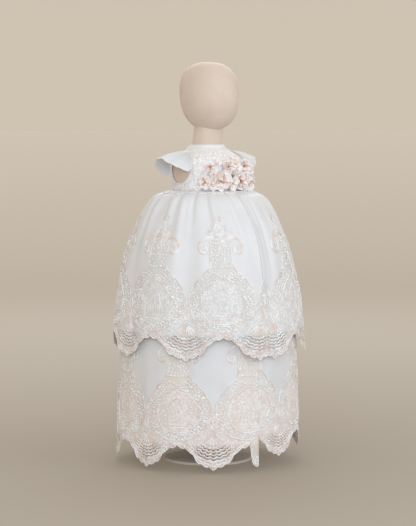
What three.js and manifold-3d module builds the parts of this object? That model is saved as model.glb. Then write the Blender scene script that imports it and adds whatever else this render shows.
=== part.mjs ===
// A two-tier christening gown of satin and scalloped lace, worn by a limbless dress form on a round stand.
// Millimetres, +Z up. The gown's front faces -Y. The origin is on the floor, below the middle of the gown.
import * as THREE from "three";
import { mergeVertices } from "three/addons/utils/BufferGeometryUtils.js";
import Module from "manifold-3d";

const wasm = await Module();
wasm.setup();

// Cloth and seams
const SATIN = 1.5;
const LACE = 1.0;
const BODICE = 1.6;
const SEAM_GAP = 0.3;
const BODY_EASE = 0.9;

// Heights above the floor
const WAIST = 623;
const HEM_CLEAR = 8;
const UPPER_LACE_TIP = 251;

// Lace border: one repeat is a ring medallion with its spire, between two halves of a scalloped fan
const REPEATS_PER_TIER = 8;
const REPEAT_ANGLE = 360 / REPEATS_PER_TIER;
const NOTCH_RISE = 52;
const SCALLOP_STEP = { part: 0.38, from: 0.36, to: 0.72 };
const PICOT_DEPTH = 5;
const PICOTS_PER_SCALLOP = 6;
const PICOT_STEPS = 2;
const RING_MEETING = 126;
const SATIN_ABOVE_TIP = 58;
const CUT_LAP = 2.2;
const CUT_MARGIN = 12;

// The lace fan's cutwork: curved slots on circles round the fan's apex, either side of a middle rib
const FAN_APEX = 84;
const FAN_SLOT = 5.5;
const FAN_ARCS = [
  { radius: 38, spread: 40 },
  { radius: 52, spread: 38 },
];
const FAN_RIB = 2.6;
const WHOLE_FAN = 12;

// Both tiers are split at the front, the lower one a little to the wearer's right, and at centre back
const FRONT_EDGES = { upper: 0, lower: 5 };

// The lower tier hangs higher on the wearer's left, by this much at the hem, and level again at centre back
const LEFT_LIFT = { height: 20, from: -180, to: -90 };

// Dress form
const HEAD = { height: 155, width: 124, depth: 154, chin: 761, squareness: 2.45, taper: 0.05, lean: 10 };
const BASE = { radius: 100, thickness: 6 };
const POLE_RADIUS = 11;
const TORSO_FOOT = 560;
const TORSO_SQUARENESS = 2.3;

// Armholes, cap sleeves, binding and buttons
const ARMHOLE = { y: -1, z: 673, halfWidth: 34, halfHeight: 34 };
const BINDING_RADIUS = 1.6;
const ARMHOLE_STEPS = 18;
const NECK_BAND = { height: 9, thickness: 2.2, row: 716, flare: 1.5 };
const BUTTON = { radius: 4.5, topRadius: 3.2, thickness: 3 };
const BUTTON_HEIGHTS = [640, 662, 684, 704];

// Rings of the dress form's torso and neck; the bodice is cut to the same rings
const TORSO_RINGS = [
  { z: TORSO_FOOT, halfWidth: 70, halfDepth: 60, back: 0 },
  { z: 590, halfWidth: 75, halfDepth: 64, back: 0 },
  { z: WAIST, halfWidth: 78, halfDepth: 67, back: 0 },
  { z: 650, halfWidth: 82, halfDepth: 68, back: 0 },
  { z: 675, halfWidth: 84, halfDepth: 66, back: 0 },
  { z: 692, halfWidth: 79, halfDepth: 60, back: 1 },
  { z: 704, halfWidth: 66, halfDepth: 52, back: 3 },
  { z: 712, halfWidth: 51, halfDepth: 44, back: 4 },
  { z: 718, halfWidth: 41, halfDepth: 39, back: 5 },
  { z: 724, halfWidth: 36, halfDepth: 36, back: 5 },
  { z: 736, halfWidth: 33, halfDepth: 33, back: 2 },
  { z: 790, halfWidth: 31, halfDepth: 31, back: -5 },
];

const TORSO_EXTRA_ROWS = [663, 708];
const BODICE_ROWS = [WAIST, 640, 657, 675, 690, 700, 709, NECK_BAND.row];
const PANEL_SEAM = 0.12;

// Profiles of the two tiers, on the inside of the satin, from the waist to the tips of the lace
const UPPER_PROFILE = [
  { radius: 76.9, z: WAIST - SEAM_GAP },
  { radius: 96, z: 617 },
  { radius: 119, z: 606 },
  { radius: 150, z: 566 },
  { radius: 181, z: 501 },
  { radius: 198, z: 434 },
  { radius: 209, z: 353 },
  { radius: 214, z: 285 },
  { radius: 217, z: UPPER_LACE_TIP },
];
const LOWER_PROFILE = [
  { radius: 73.4, z: WAIST - SEAM_GAP },
  { radius: 82, z: 604 },
  { radius: 122, z: 520 },
  { radius: 168, z: 420 },
  { radius: 196, z: 330 },
  { radius: 201, z: 260 },
  { radius: 204, z: 140 },
  { radius: 206, z: HEM_CLEAR },
];

// Large folds of each tier: the angle from centre front towards the wearer's right, half width in degrees,
// depth outwards, and the stretch along the cloth, from the waist, over which the fold grows
const UPPER_FOLDS = [
  { angle: 12, width: 11, depth: 6, from: 30, to: 330 },
  { angle: 28, width: 14, depth: 3, from: 60, to: 300 },
  { angle: 51, width: 13, depth: -7, from: 40, to: 300 },
  { angle: 72, width: 19, depth: 3, from: 80, to: 360 },
  { angle: 95, width: 13, depth: -6, from: 40, to: 320 },
  { angle: 118, width: 18, depth: 4, from: 60, to: 340 },
  { angle: 142, width: 13, depth: -6, from: 60, to: 330 },
  { angle: 166, width: 14, depth: 4, from: 70, to: 350 },
  { angle: -6, width: 10, depth: -6, from: 40, to: 300 },
  { angle: -28, width: 12, depth: 2, from: 60, to: 330 },
  { angle: -52, width: 12, depth: 6, from: 50, to: 330 },
  { angle: -78, width: 18, depth: 5, from: 70, to: 350 },
  { angle: -104, width: 13, depth: -6, from: 50, to: 320 },
  { angle: -132, width: 18, depth: 4, from: 60, to: 340 },
  { angle: -158, width: 13, depth: -6, from: 60, to: 330 },
];
const LOWER_FOLDS = [
  { angle: 16, width: 14, depth: 3, from: 330, to: 560 },
  { angle: 44, width: 14, depth: -3.5, from: 330, to: 560 },
  { angle: 66, width: 16, depth: 2.5, from: 330, to: 560 },
  { angle: 88, width: 14, depth: -3.5, from: 330, to: 560 },
  { angle: 124, width: 19, depth: 3, from: 330, to: 560 },
  { angle: 156, width: 16, depth: -3.5, from: 330, to: 560 },
  { angle: -12, width: 14, depth: -3, from: 330, to: 560 },
  { angle: -40, width: 18, depth: 3, from: 330, to: 560 },
  { angle: -72, width: 14, depth: -3.5, from: 330, to: 560 },
  { angle: -110, width: 19, depth: 3, from: 330, to: 560 },
  { angle: -148, width: 16, depth: -3.5, from: 330, to: 560 },
];

// Gathers of the upper tier at the waist: how deep they are at each distance from the seam
const GATHERS = 24;
const GATHER_DEPTHS = [
  { along: 0, depth: 1.1 },
  { along: 25, depth: 4.2 },
  { along: 90, depth: 2.6 },
  { along: 200, depth: 0.7 },
  { along: 290, depth: 0 },
];

const GATHER_UNEVENNESS = { size: 0.3, sizeWaves: 5, shift: 25, shiftWaves: 3 };

// Upper edge of the lace on one side of a medallion, from the spire's top down to where two rings meet
const MEDALLION_EDGE = [
  { rise: 330, half: 1.2 },
  { rise: 304, half: 9 },
  { rise: 283, half: 20 },
  { rise: 264, half: 45 },
  { rise: 241, half: 46 },
  { rise: 230, half: 25 },
  { rise: 208, half: 25 },
  { rise: 176, half: 54 },
  { rise: 150, half: 73 },
];

// Middles of the medallions on each half of each tier, in degrees from centre front
const MEDALLIONS = {
  upper: { right: [-16, 29, 74, 119, 164, 209], left: [16, -29, -74, -119, -164, -209] },
  lower: { right: [12, 57.2, 102.4, 147.8, 193.6], left: [9.5, -35.5, -80.5, -125.5, -170.5, -215.5] },
};

// The lower tier's right half ends at the front edge in a loose hanging corner beside a notch
const FRONT_CORNER = { notch: MEDALLIONS.lower.right[0], edge: FRONT_EDGES.lower };
const CORNER_EDGE = [
  { share: 0.06, rise: NOTCH_RISE },
  { share: 0.3, rise: 14 },
  { share: 0.62, rise: 5 },
  { share: 1, rise: 3 },
];

// The rim of the wearer's right cap sleeve, from its front end over the shoulder to its back end
const SLEEVE_RIM = [
  { out: 88, back: -41, z: 667 },
  { out: 108, back: -36, z: 675 },
  { out: 126, back: -22, z: 686 },
  { out: 138, back: 2, z: 698 },
  { out: 135, back: 22, z: 687 },
  { out: 121, back: 33, z: 671 },
  { out: 104, back: 38, z: 660 },
  { out: 88, back: 40, z: 655 },
];
const SLEEVE_PUFF = { up: 9, out: 3, at: 0.45 };
const SLEEVE_WALL = 1.2;
const SLEEVE_SEAM = { from: 2, to: 196, beyondBinding: 2.5 };
const SLEEVE_GATHERS = 7;
const SLEEVE_GATHER_DEPTH = 1.4;

// Fabric flowers of the corsage, on the front of the bodice: where each sits and how wide it is
const FLOWERS = [
  { name: "flower_1", angle: 38, z: 644, radius: 20, turn: 32 },
  { name: "flower_2", angle: 9, z: 645, radius: 22, turn: 12 },
  { name: "flower_3", angle: -21, z: 645, radius: 21, turn: -20 },
  { name: "flower_4", angle: -50, z: 645, radius: 19, turn: -36 },
  { name: "flower_5", angle: 28, z: 676, radius: 16, turn: 40 },
  { name: "flower_6", angle: -1, z: 676, radius: 17, turn: 0 },
  { name: "flower_7", angle: -34, z: 676, radius: 16, turn: -28 },
];
const PETALS = 5;
const PETAL_STEPS = 3;
const PETAL_WALL = 1.2;
const PETAL_NOTCH = { in: 0.28, down: 0.35 };
const FLOWER_CAP = 0.36;

// A flower's rings as shares of its radius, and how far each ring follows the petals' outline
const FLOWER_RINGS = [
  { reach: 0.2, rise: 0.3, lobe: 0 },
  { reach: 0.55, rise: 0.16, lobe: 0.4 },
  { reach: 1, rise: 0.46, lobe: 1 },
];

const radians = THREE.MathUtils.degToRad;

// Smooth value of one column of a table at a place along another column, by a cubic through the rows
function columnAt(rows, place, where, column) {
  const rising = rows[0][where] < rows[rows.length - 1][where];
  let i = 0;
  while (i < rows.length - 2 && (rising ? place > rows[i + 1][where] : place < rows[i + 1][where])) i++;
  const [a, b] = [rows[i], rows[i + 1]];
  const share = THREE.MathUtils.clamp((place - a[where]) / (b[where] - a[where]), 0, 1);
  const slope = (k) => {
    const [before, after] = [rows[Math.max(k - 1, 0)], rows[Math.min(k + 1, rows.length - 1)]];
    return (after[column] - before[column]) / (after[where] - before[where]);
  };
  const width = b[where] - a[where];
  const [h00, h10] = [(1 + 2 * share) * (1 - share) ** 2, share * (1 - share) ** 2];
  const [h01, h11] = [share * share * (3 - 2 * share), share * share * (share - 1)];
  return h00 * a[column] + h10 * width * slope(i) + h01 * b[column] + h11 * width * slope(i + 1);
}

// A closed geometry from points and triangles, with its faces pointing out
function geometryOf(points, triangles) {
  let volume = 0;
  for (const [a, b, c] of triangles) {
    volume += points[a].dot(points[b].clone().cross(points[c]));
  }
  const index = triangles.flatMap(([a, b, c]) => (volume > 0 ? [a, b, c] : [a, c, b]));
  return new THREE.BufferGeometry().setFromPoints(points).setIndex(index);
}

// A wall of cloth: rows of places, each with an outer and an inner point and its own u along the row.
// Neighbouring rows may have different numbers of places. A closed row runs all the way round.
function wall(rows, closed = false) {
  const points = [];
  const triangles = [];
  const outer = rows.map((row) => row.map((p) => points.push(p.outer) - 1));
  const inner = rows.map((row) => row.map((p) => points.push(p.inner) - 1));
  const places = rows.map((row) => row.map((p) => p.u));
  if (closed) {
    rows.forEach((row, r) => {
      outer[r].push(outer[r][0]);
      inner[r].push(inner[r][0]);
      places[r].push(1);
    });
  }
  const stitch = (skin, r, flip) => {
    const add = (a, b, c) => triangles.push(flip ? [a, c, b] : [a, b, c]);
    let [i, j] = [0, 0];
    const [top, foot] = [skin[r], skin[r + 1]];
    while (i < top.length - 1 || j < foot.length - 1) {
      const nextTop = i < top.length - 1 ? places[r][i + 1] : Infinity;
      const nextFoot = j < foot.length - 1 ? places[r + 1][j + 1] : Infinity;
      if (nextTop <= nextFoot) {
        add(top[i], foot[j], top[i + 1]);
        i++;
      } else {
        add(top[i], foot[j], foot[j + 1]);
        j++;
      }
    }
  };
  const rim = (a, b) => {
    for (let i = 0; i < a.length - 1; i++) {
      triangles.push([a[i], a[i + 1], b[i + 1]], [a[i], b[i + 1], b[i]]);
    }
  };
  for (let r = 0; r < rows.length - 1; r++) {
    stitch(outer, r, false);
    stitch(inner, r, true);
  }
  const last = rows.length - 1;
  rim(outer[0], inner[0]);
  rim(inner[last], outer[last]);
  if (!closed) {
    const side = (skin, end) => skin.map((row) => row[end === 0 ? 0 : row.length - 1]);
    rim(side(inner, 0), side(outer, 0));
    rim(side(outer, 1), side(inner, 1));
  }
  return geometryOf(points, triangles);
}

// A solid through closed rings of points, with a fan of faces at each end
function lofted(rings) {
  const points = rings.flat();
  const count = rings[0].length;
  const triangles = [];
  const at = (r, i) => r * count + (i % count);
  for (let r = 0; r < rings.length - 1; r++) {
    for (let i = 0; i < count; i++) {
      triangles.push([at(r, i), at(r + 1, i), at(r, i + 1)], [at(r, i + 1), at(r + 1, i), at(r + 1, i + 1)]);
    }
  }
  [0, rings.length - 1].forEach((r) => {
    for (let i = 1; i < count - 1; i++) {
      const face = [at(r, 0), at(r, i), at(r, i + 1)];
      triangles.push(r === 0 ? face : face.reverse());
    }
  });
  return geometryOf(points, triangles);
}

// A cord or band whose path closes on itself: sections of points, joined in a ring
function closedBand(sections) {
  const points = sections.flat();
  const [rounds, count] = [sections.length, sections[0].length];
  const triangles = [];
  const at = (r, i) => (r % rounds) * count + (i % count);
  for (let r = 0; r < rounds; r++) {
    for (let i = 0; i < count; i++) {
      triangles.push([at(r, i), at(r + 1, i), at(r, i + 1)], [at(r, i + 1), at(r + 1, i), at(r + 1, i + 1)]);
    }
  }
  return geometryOf(points, triangles);
}

function solidOf(geometry) {
  const bare = new THREE.BufferGeometry().setAttribute("position", geometry.getAttribute("position"));
  bare.setIndex(geometry.getIndex());
  const merged = mergeVertices(bare, 1e-4);
  const vertProperties = new Float32Array(merged.getAttribute("position").array);
  const triVerts = new Uint32Array(merged.getIndex().array);
  return new wasm.Manifold(new wasm.Mesh({ numProp: 3, vertProperties, triVerts }));
}

function cut(geometry, cutters) {
  const solid = cutters.reduce((rest, cutter) => rest.subtract(solidOf(cutter)), solidOf(geometry));
  const made = solid.getMesh();
  const result = new THREE.BufferGeometry();
  result.setAttribute("position", new THREE.BufferAttribute(new Float32Array(made.vertProperties), 3));
  result.setIndex(new THREE.BufferAttribute(new Uint32Array(made.triVerts), 1));
  return result;
}

// One tier of the skirt: its profile by distance along the cloth from the waist
function makeTier(profile, folds, gathered, laceTop, laceRows) {
  const path = new THREE.CatmullRomCurve3(
    profile.map((row) => new THREE.Vector3(row.radius, 0, row.z)),
    false,
    "centripetal",
  );
  path.arcLengthDivisions = 400;
  const length = path.getLength();
  return { path, folds, gathered, length, laceTop, laceRows, satinLength: length - SATIN_ABOVE_TIP, lift: 0 };
}

// How far a tier that hangs unevenly is lifted at a place
function liftAt(tier, angle, along) {
  const turned = THREE.MathUtils.smoothstep(angle, LEFT_LIFT.from, LEFT_LIFT.to);
  return tier.lift * turned * Math.min(along / tier.length, 1) ** 2;
}

// A bump that is 1 at the middle and fades smoothly to 0 at one width away
function bump(offset, width) {
  const share = Math.abs(offset) / width;
  return share >= 1 ? 0 : 0.5 + 0.5 * Math.cos(Math.PI * share);
}

function turnBetween(angle, middle) {
  return THREE.MathUtils.euclideanModulo(angle - middle + 180, 360) - 180;
}

// How far the cloth stands out of the tier's plain profile: its gathers at the waist and its large folds
function foldDepth(tier, angle, along) {
  let depth = 0;
  if (tier.gathered) {
    const { size, sizeWaves, shift, shiftWaves } = GATHER_UNEVENNESS;
    const unevenness = 1 + size * Math.sin(radians(sizeWaves * angle));
    const phase = GATHERS * angle + shift * Math.sin(radians(shiftWaves * angle));
    depth += columnAt(GATHER_DEPTHS, along, "along", "depth") * unevenness * Math.cos(radians(phase));
  }
  for (const fold of tier.folds) {
    const grown = THREE.MathUtils.smoothstep(along, fold.from, fold.to);
    depth += fold.depth * grown * bump(turnBetween(angle, fold.angle), fold.width);
  }
  return depth;
}

// The waist follows the torso's rounded oval; lower down the tier is round
const WAIST_PLAN = { halfWidth: 78, halfDepth: 67, mean: 72.5 };
const ROUND_FROM = 150;

// A sine or cosine bent to the torso's rounded oval
function squared(value) {
  return Math.sign(value) * Math.abs(value) ** (2 / TORSO_SQUARENESS);
}

// A point of a tier's inner face, at an angle from centre front and a distance along the cloth
function tierPoint(tier, angle, along) {
  const flat = tier.path.getPointAt(THREE.MathUtils.clamp(along / tier.length, 0, 1));
  const roundness = THREE.MathUtils.smoothstep(along, 0, ROUND_FROM);
  const radius = flat.x + foldDepth(tier, angle, along);
  const [s, c] = [Math.sin(radians(angle)), Math.cos(radians(angle))];
  const { halfWidth, halfDepth, mean } = WAIST_PLAN;
  return new THREE.Vector3(
    -radius * THREE.MathUtils.lerp((squared(s) * halfWidth) / mean, s, roundness),
    -radius * THREE.MathUtils.lerp((squared(c) * halfDepth) / mean, c, roundness),
    flat.z + liftAt(tier, angle, along),
  );
}

const NUDGE = 0.4;

// The direction out of a tier's cloth at a place, from two short steps across it
function tierNormal(tier, angle, along) {
  const low = Math.max(along - NUDGE, 0);
  const high = Math.min(along + NUDGE, tier.length);
  const round = tierPoint(tier, angle + NUDGE, along).sub(tierPoint(tier, angle - NUDGE, along));
  const down = tierPoint(tier, angle, high).sub(tierPoint(tier, angle, low));
  const out = round.cross(down);
  if (along === 0) out.setZ(0);
  return out.normalize();
}

// A wall on a tier, between two angles, through rows at given distances along the cloth
function tierWall(tier, range, rows, offset, thickness) {
  return wall(
    rows.map(({ along, columns }) => {
      const radius = tier.path.getPointAt(Math.min(along / tier.length, 1)).x;
      const seam = THREE.MathUtils.radToDeg(SEAM_GAP / 2 / radius);
      const [from, to] = [range.from + seam, range.to - seam];
      return Array.from({ length: columns + 1 }, (_, i) => {
        const angle = from + ((to - from) * i) / columns;
        const place = tierPoint(tier, angle, along);
        const out = tierNormal(tier, angle, along);
        return {
          u: i / columns,
          inner: place.clone().addScaledVector(out, offset),
          outer: place.clone().addScaledVector(out, offset + thickness),
        };
      });
    }),
  );
}

// Cutter for a flat outline on a tier: the outline is in millimetres, across from a middle angle and up
// from the tips of the lace, and is carried straight in and out through the cloth
const CUT_DEPTH = { in: 45, out: 32 };

function tierCutter(tier, middle, outline) {
  const flat = outline.map(([across, rise]) => {
    const along = tier.length - rise;
    const profile = tier.path.getPointAt(THREE.MathUtils.clamp(along / tier.length, 0, 1));
    const extra = Math.max(along - tier.length, 0);
    const turn = radians(middle) + across / profile.x;
    const lift = liftAt(tier, THREE.MathUtils.radToDeg(turn), along);
    return { turn, radius: profile.x, z: profile.z + lift - extra };
  });
  const at = (place, out) =>
    new THREE.Vector3(
      -(place.radius + out) * Math.sin(place.turn),
      -(place.radius + out) * Math.cos(place.turn),
      place.z,
    );
  const count = flat.length;
  const points = [...flat.map((p) => at(p, -CUT_DEPTH.in)), ...flat.map((p) => at(p, CUT_DEPTH.out))];
  const faces = THREE.ShapeUtils.triangulateShape(outline.map(([x, y]) => new THREE.Vector2(x, y)), []);
  const triangles = faces.flatMap(([a, b, c]) => [
    [a, b, c],
    [a + count, c + count, b + count],
  ]);
  const turnsLeft = THREE.ShapeUtils.area(outline.map(([x, y]) => new THREE.Vector2(x, y))) > 0;
  for (let i = 0; i < count; i++) {
    const j = (i + 1) % count;
    const [a, b] = turnsLeft ? [j, i] : [i, j];
    triangles.push([a, b, b + count], [a, b + count, a + count]);
  }
  return geometryOf(points, triangles);
}

// Height of the scalloped hem at a share of the way from a fan's tip to the notch beside it
function scallopRise(share) {
  const step = THREE.MathUtils.smoothstep(share, SCALLOP_STEP.from, SCALLOP_STEP.to);
  const slope = NOTCH_RISE * ((1 - SCALLOP_STEP.part) * share + SCALLOP_STEP.part * step);
  const picot = Math.abs(Math.cos((Math.PI / 2) * PICOTS_PER_SCALLOP * share));
  return slope + PICOT_DEPTH * (1 - picot);
}

// Everything below one scallop, from notch to notch
function belowScallop(tier, fanAngle) {
  const halfWidth = radians(REPEAT_ANGLE / 2) * tier.path.getPointAt(1).x + CUT_LAP;
  const steps = PICOTS_PER_SCALLOP * PICOT_STEPS;
  const edge = Array.from({ length: steps + 1 }, (_, i) => {
    const share = (2 * i) / steps - 1;
    return [share * halfWidth, scallopRise(Math.abs(share))];
  });
  return tierCutter(tier, fanAngle, [[halfWidth, -CUT_MARGIN], [-halfWidth, -CUT_MARGIN], ...edge]);
}

// Everything below the loose corner at a front edge, from the notch beside it to past the edge
function belowCorner(tier, { notch, edge }) {
  const width = radians(notch - edge) * tier.path.getPointAt(1).x;
  const outside = -width - CUT_MARGIN;
  const edgeLine = CORNER_EDGE.map(({ share, rise }) => [-share * width, rise]);
  return tierCutter(tier, notch, [
    [CUT_LAP, -CUT_MARGIN],
    [CUT_LAP, NOTCH_RISE],
    ...edgeLine,
    [outside, edgeLine[edgeLine.length - 1][1]],
    [outside, -CUT_MARGIN],
  ]);
}

// Everything above one medallion's outline, on one side of it
function besideMedallion(tier, middle, side) {
  const border = (rise) => {
    const radius = tier.path.getPointAt(1 - rise / tier.length).x;
    return [side * (radius * radians(REPEAT_ANGLE / 2) + CUT_LAP), rise];
  };
  const reach = tier.laceTop + CUT_MARGIN;
  const shown = MEDALLION_EDGE.filter(({ rise }) => rise < tier.laceTop);
  const edge = shown.map(({ rise, half }) => [side * half, rise]);
  const spireTop = [side * (shown[0].half - 1), reach];
  return tierCutter(tier, middle, [spireTop, ...edge, border(RING_MEETING), border(reach)]);
}

// The cutwork of one fan: rows of slots below its apex, split by a middle rib
function fanSlots(tier, fanAngle) {
  const polar = (radius, turn) => {
    const angle = radians(turn);
    return [radius * Math.sin(angle), FAN_APEX - radius * Math.cos(angle)];
  };
  return FAN_ARCS.flatMap(({ radius, spread }) =>
    [-1, 1].map((side) => {
      const rib = THREE.MathUtils.radToDeg(FAN_RIB / 2 / radius);
      const turns = [rib, spread].map((turn) => side * turn);
      const lower = turns.map((turn) => polar(radius + FAN_SLOT / 2, turn));
      const upper = turns.map((turn) => polar(radius - FAN_SLOT / 2, turn)).reverse();
      return tierCutter(tier, fanAngle, [...lower, ...upper]);
    }),
  );
}

// Rows of a wall, evenly spaced between two distances along the cloth
function evenRows(from, to, count, columns) {
  return Array.from({ length: count + 1 }, (_, i) => ({ along: from + ((to - from) * i) / count, columns }));
}

// How far up each tier the lace reaches, and how many rows of facets it has there
const UPPER_LACE = { top: 336, rows: 3 };
const LOWER_LACE = { top: 290, rows: 2 };
const UPPER = makeTier(UPPER_PROFILE, UPPER_FOLDS, true, UPPER_LACE.top, UPPER_LACE.rows);
const LOWER = makeTier(LOWER_PROFILE, LOWER_FOLDS, false, LOWER_LACE.top, LOWER_LACE.rows);

const HALVES = [
  { name: "upper", half: "right", tier: UPPER, from: FRONT_EDGES.upper, to: 180 },
  { name: "upper", half: "left", tier: UPPER, from: -180, to: FRONT_EDGES.upper },
  { name: "lower", half: "right", tier: LOWER, from: FRONT_EDGES.lower, to: 180, corner: FRONT_CORNER },
  { name: "lower", half: "left", tier: { ...LOWER, lift: LEFT_LIFT.height }, from: -180, to: FRONT_EDGES.lower },
];
const GATHER_COLUMNS = 48;
const SKIRT_COLUMNS = 20;
const GATHER_ROWS = [0, 16, 50];
const HIDDEN_COLUMNS = 10;
const HIDDEN_ROWS = 3;

// Rows shared by a tier's satin and the lace on it, so that both have the same facets
function laceRows(tier) {
  const rows = evenRows(tier.length - tier.laceTop, tier.satinLength, tier.laceRows, SKIRT_COLUMNS);
  return [...rows, { along: tier.length, columns: SKIRT_COLUMNS }];
}

function satinRows(tier) {
  const onLace = laceRows(tier).slice(0, -1);
  if (tier.gathered) return [...GATHER_ROWS.map((along) => ({ along, columns: GATHER_COLUMNS })), ...onLace];
  const hidden = evenRows(0, onLace[0].along, HIDDEN_ROWS, HIDDEN_COLUMNS).slice(1, -1);
  return [{ along: 0, columns: SKIRT_COLUMNS }, ...hidden, ...onLace];
}

function satinGeometry(part) {
  return tierWall(part.tier, part, satinRows(part.tier), 0, SATIN);
}

// Angles of the fans: between each two medallions, and half a repeat beyond the last one at either end
function fanAngles(middles) {
  const sorted = [...middles].sort((a, b) => a - b);
  const between = sorted.slice(1).map((m, i) => (m + sorted[i]) / 2);
  return [sorted[0] - REPEAT_ANGLE / 2, ...between, sorted[sorted.length - 1] + REPEAT_ANGLE / 2];
}

function laceGeometry({ name, half, tier, from, to, corner }) {
  const middles = MEDALLIONS[name][half];
  const whole = tierWall(tier, { from, to }, laceRows(tier), SATIN + SEAM_GAP, LACE);
  const near = REPEAT_ANGLE / 2 + 1;
  const reaches = (angle) => angle > from - near && angle < to + near;
  const fans = fanAngles(middles);
  const scallops = fans.filter((angle) => reaches(angle) && !(corner && angle < corner.edge));
  const cutters = [
    ...middles.filter(reaches).flatMap((m) => [besideMedallion(tier, m, 1), besideMedallion(tier, m, -1)]),
    ...scallops.map((angle) => belowScallop(tier, angle)),
    ...fans.filter((angle) => angle > from + WHOLE_FAN && angle < to - WHOLE_FAN)
      .flatMap((angle) => fanSlots(tier, angle)),
  ];
  if (corner) cutters.push(belowCorner(tier, corner));
  return cut(whole, cutters);
}

// A point of the torso's surface by its angle from centre front, moved out by an offset
function torsoPoint(angle, z, offset = 0) {
  const ring = (column) => columnAt(TORSO_RINGS, z, "z", column);
  return new THREE.Vector3(
    -(ring("halfWidth") + offset) * squared(Math.sin(radians(angle))),
    ring("back") - (ring("halfDepth") + offset) * squared(Math.cos(radians(angle))),
    z,
  );
}

// The direction out of the torso at a place
function torsoNormal(angle, z) {
  const round = torsoPoint(angle + NUDGE, z).sub(torsoPoint(angle - NUDGE, z));
  const down = torsoPoint(angle, z - NUDGE).sub(torsoPoint(angle, z + NUDGE));
  return round.cross(down).normalize();
}

// A point on the side of the torso at a given depth and height; side is -1 on the wearer's right
function torsoSide(y, z, side, offset) {
  const ring = (column) => columnAt(TORSO_RINGS, z, "z", column);
  const share = Math.min(Math.abs(y - ring("back")) / ring("halfDepth"), 0.999);
  const turnedIn = (1 - share ** TORSO_SQUARENESS) ** (1 / TORSO_SQUARENESS);
  const across = turnedIn ** (TORSO_SQUARENESS / 2);
  const ahead = -Math.sign(y - ring("back")) * share ** (TORSO_SQUARENESS / 2);
  const angle = THREE.MathUtils.radToDeg(Math.atan2(across, ahead));
  return torsoPoint(-side * angle, z).addScaledVector(torsoNormal(-side * angle, z), offset);
}

function torsoGeometry() {
  const columns = 18;
  const heights = TORSO_RINGS.map((row) => row.z).concat(TORSO_EXTRA_ROWS).sort((a, b) => a - b);
  const torso = lofted(
    heights.map((z) => Array.from({ length: columns }, (_, i) => torsoPoint((360 * i) / columns, z))),
  );
  return cut(torso, [headGeometry(SEAM_GAP)]);
}

// An egg: narrower at the chin than at the crown, a little squared, and leaning forward at the chin
function headGeometry(grown = 0) {
  const [rounds, columns] = [11, 18];
  const bent = (value) => Math.sign(value) * Math.abs(value) ** (2 / HEAD.squareness);
  const rings = Array.from({ length: rounds - 1 }, (_, r) => {
    const turn = (Math.PI * (r + 1)) / rounds;
    const rise = -bent(Math.cos(turn));
    const girth = bent(Math.sin(turn)) * (1 + HEAD.taper * rise);
    return Array.from({ length: columns }, (_, i) => {
      const round = (2 * Math.PI * i) / columns;
      return new THREE.Vector3(
        (HEAD.width / 2 + grown) * girth * Math.sin(round),
        -(HEAD.depth / 2 + grown) * girth * Math.cos(round) - (HEAD.lean * (1 - rise)) / 2,
        HEAD.chin + HEAD.height / 2 + (HEAD.height / 2 + grown) * rise,
      );
    });
  });
  return lofted(rings);
}

// A bodice panel between two angles, over the torso's rings from the waist to the neckline
function bodicePanel(from, to, columns) {
  const panel = wall(
    BODICE_ROWS.map((z) =>
      Array.from({ length: columns + 1 }, (_, i) => {
        const angle = from + PANEL_SEAM + ((to - from - 2 * PANEL_SEAM) * i) / columns;
        const out = torsoNormal(angle, z);
        const place = torsoPoint(angle, z);
        return {
          u: i / columns,
          inner: place.clone().addScaledVector(out, BODY_EASE),
          outer: place.clone().addScaledVector(out, BODY_EASE + BODICE),
        };
      }),
    ),
  );
  return cut(panel, [armholeCutter(-1), armholeCutter(1)]);
}

// The armhole's cutter runs straight through the cloth near it, then along X on both sides
function armholeCutter(side) {
  const grown = BINDING_RADIUS + SEAM_GAP;
  const ring = (offset, shift) =>
    Array.from({ length: ARMHOLE_STEPS }, (_, i) => {
      const place = armholePoint((360 * i) / ARMHOLE_STEPS, side, grown, offset);
      place.x += side * shift;
      return place;
    });
  return lofted([ring(-6, -30), ring(-6, 0), ring(8, 0), ring(8, 40)]);
}

// A place on the armhole's edge: 0 degrees is its front, 90 the top and 180 its back
function armholePoint(turn, side, grown, offset) {
  return torsoSide(
    ARMHOLE.y - (ARMHOLE.halfWidth + grown) * Math.cos(radians(turn)),
    ARMHOLE.z + (ARMHOLE.halfHeight + grown) * Math.sin(radians(turn)),
    side,
    offset,
  );
}

function armholeBinding(side) {
  const count = 5;
  const offset = BODY_EASE + BINDING_RADIUS;
  const sections = Array.from({ length: ARMHOLE_STEPS }, (_, r) => {
    const turn = (360 * r) / ARMHOLE_STEPS;
    const middle = armholePoint(turn, side, 0, offset);
    const ahead = armholePoint(turn + 2, side, 0, offset).sub(middle).normalize();
    const aside = armholePoint(turn, side, 2, offset).sub(middle).normalize();
    const out = ahead.clone().cross(aside).normalize();
    return Array.from({ length: count }, (_, i) => {
      const round = (2 * Math.PI * i) / count;
      return middle
        .clone()
        .addScaledVector(aside, BINDING_RADIUS * Math.cos(round))
        .addScaledVector(out, BINDING_RADIUS * Math.sin(round));
    });
  });
  return closedBand(sections);
}

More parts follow.
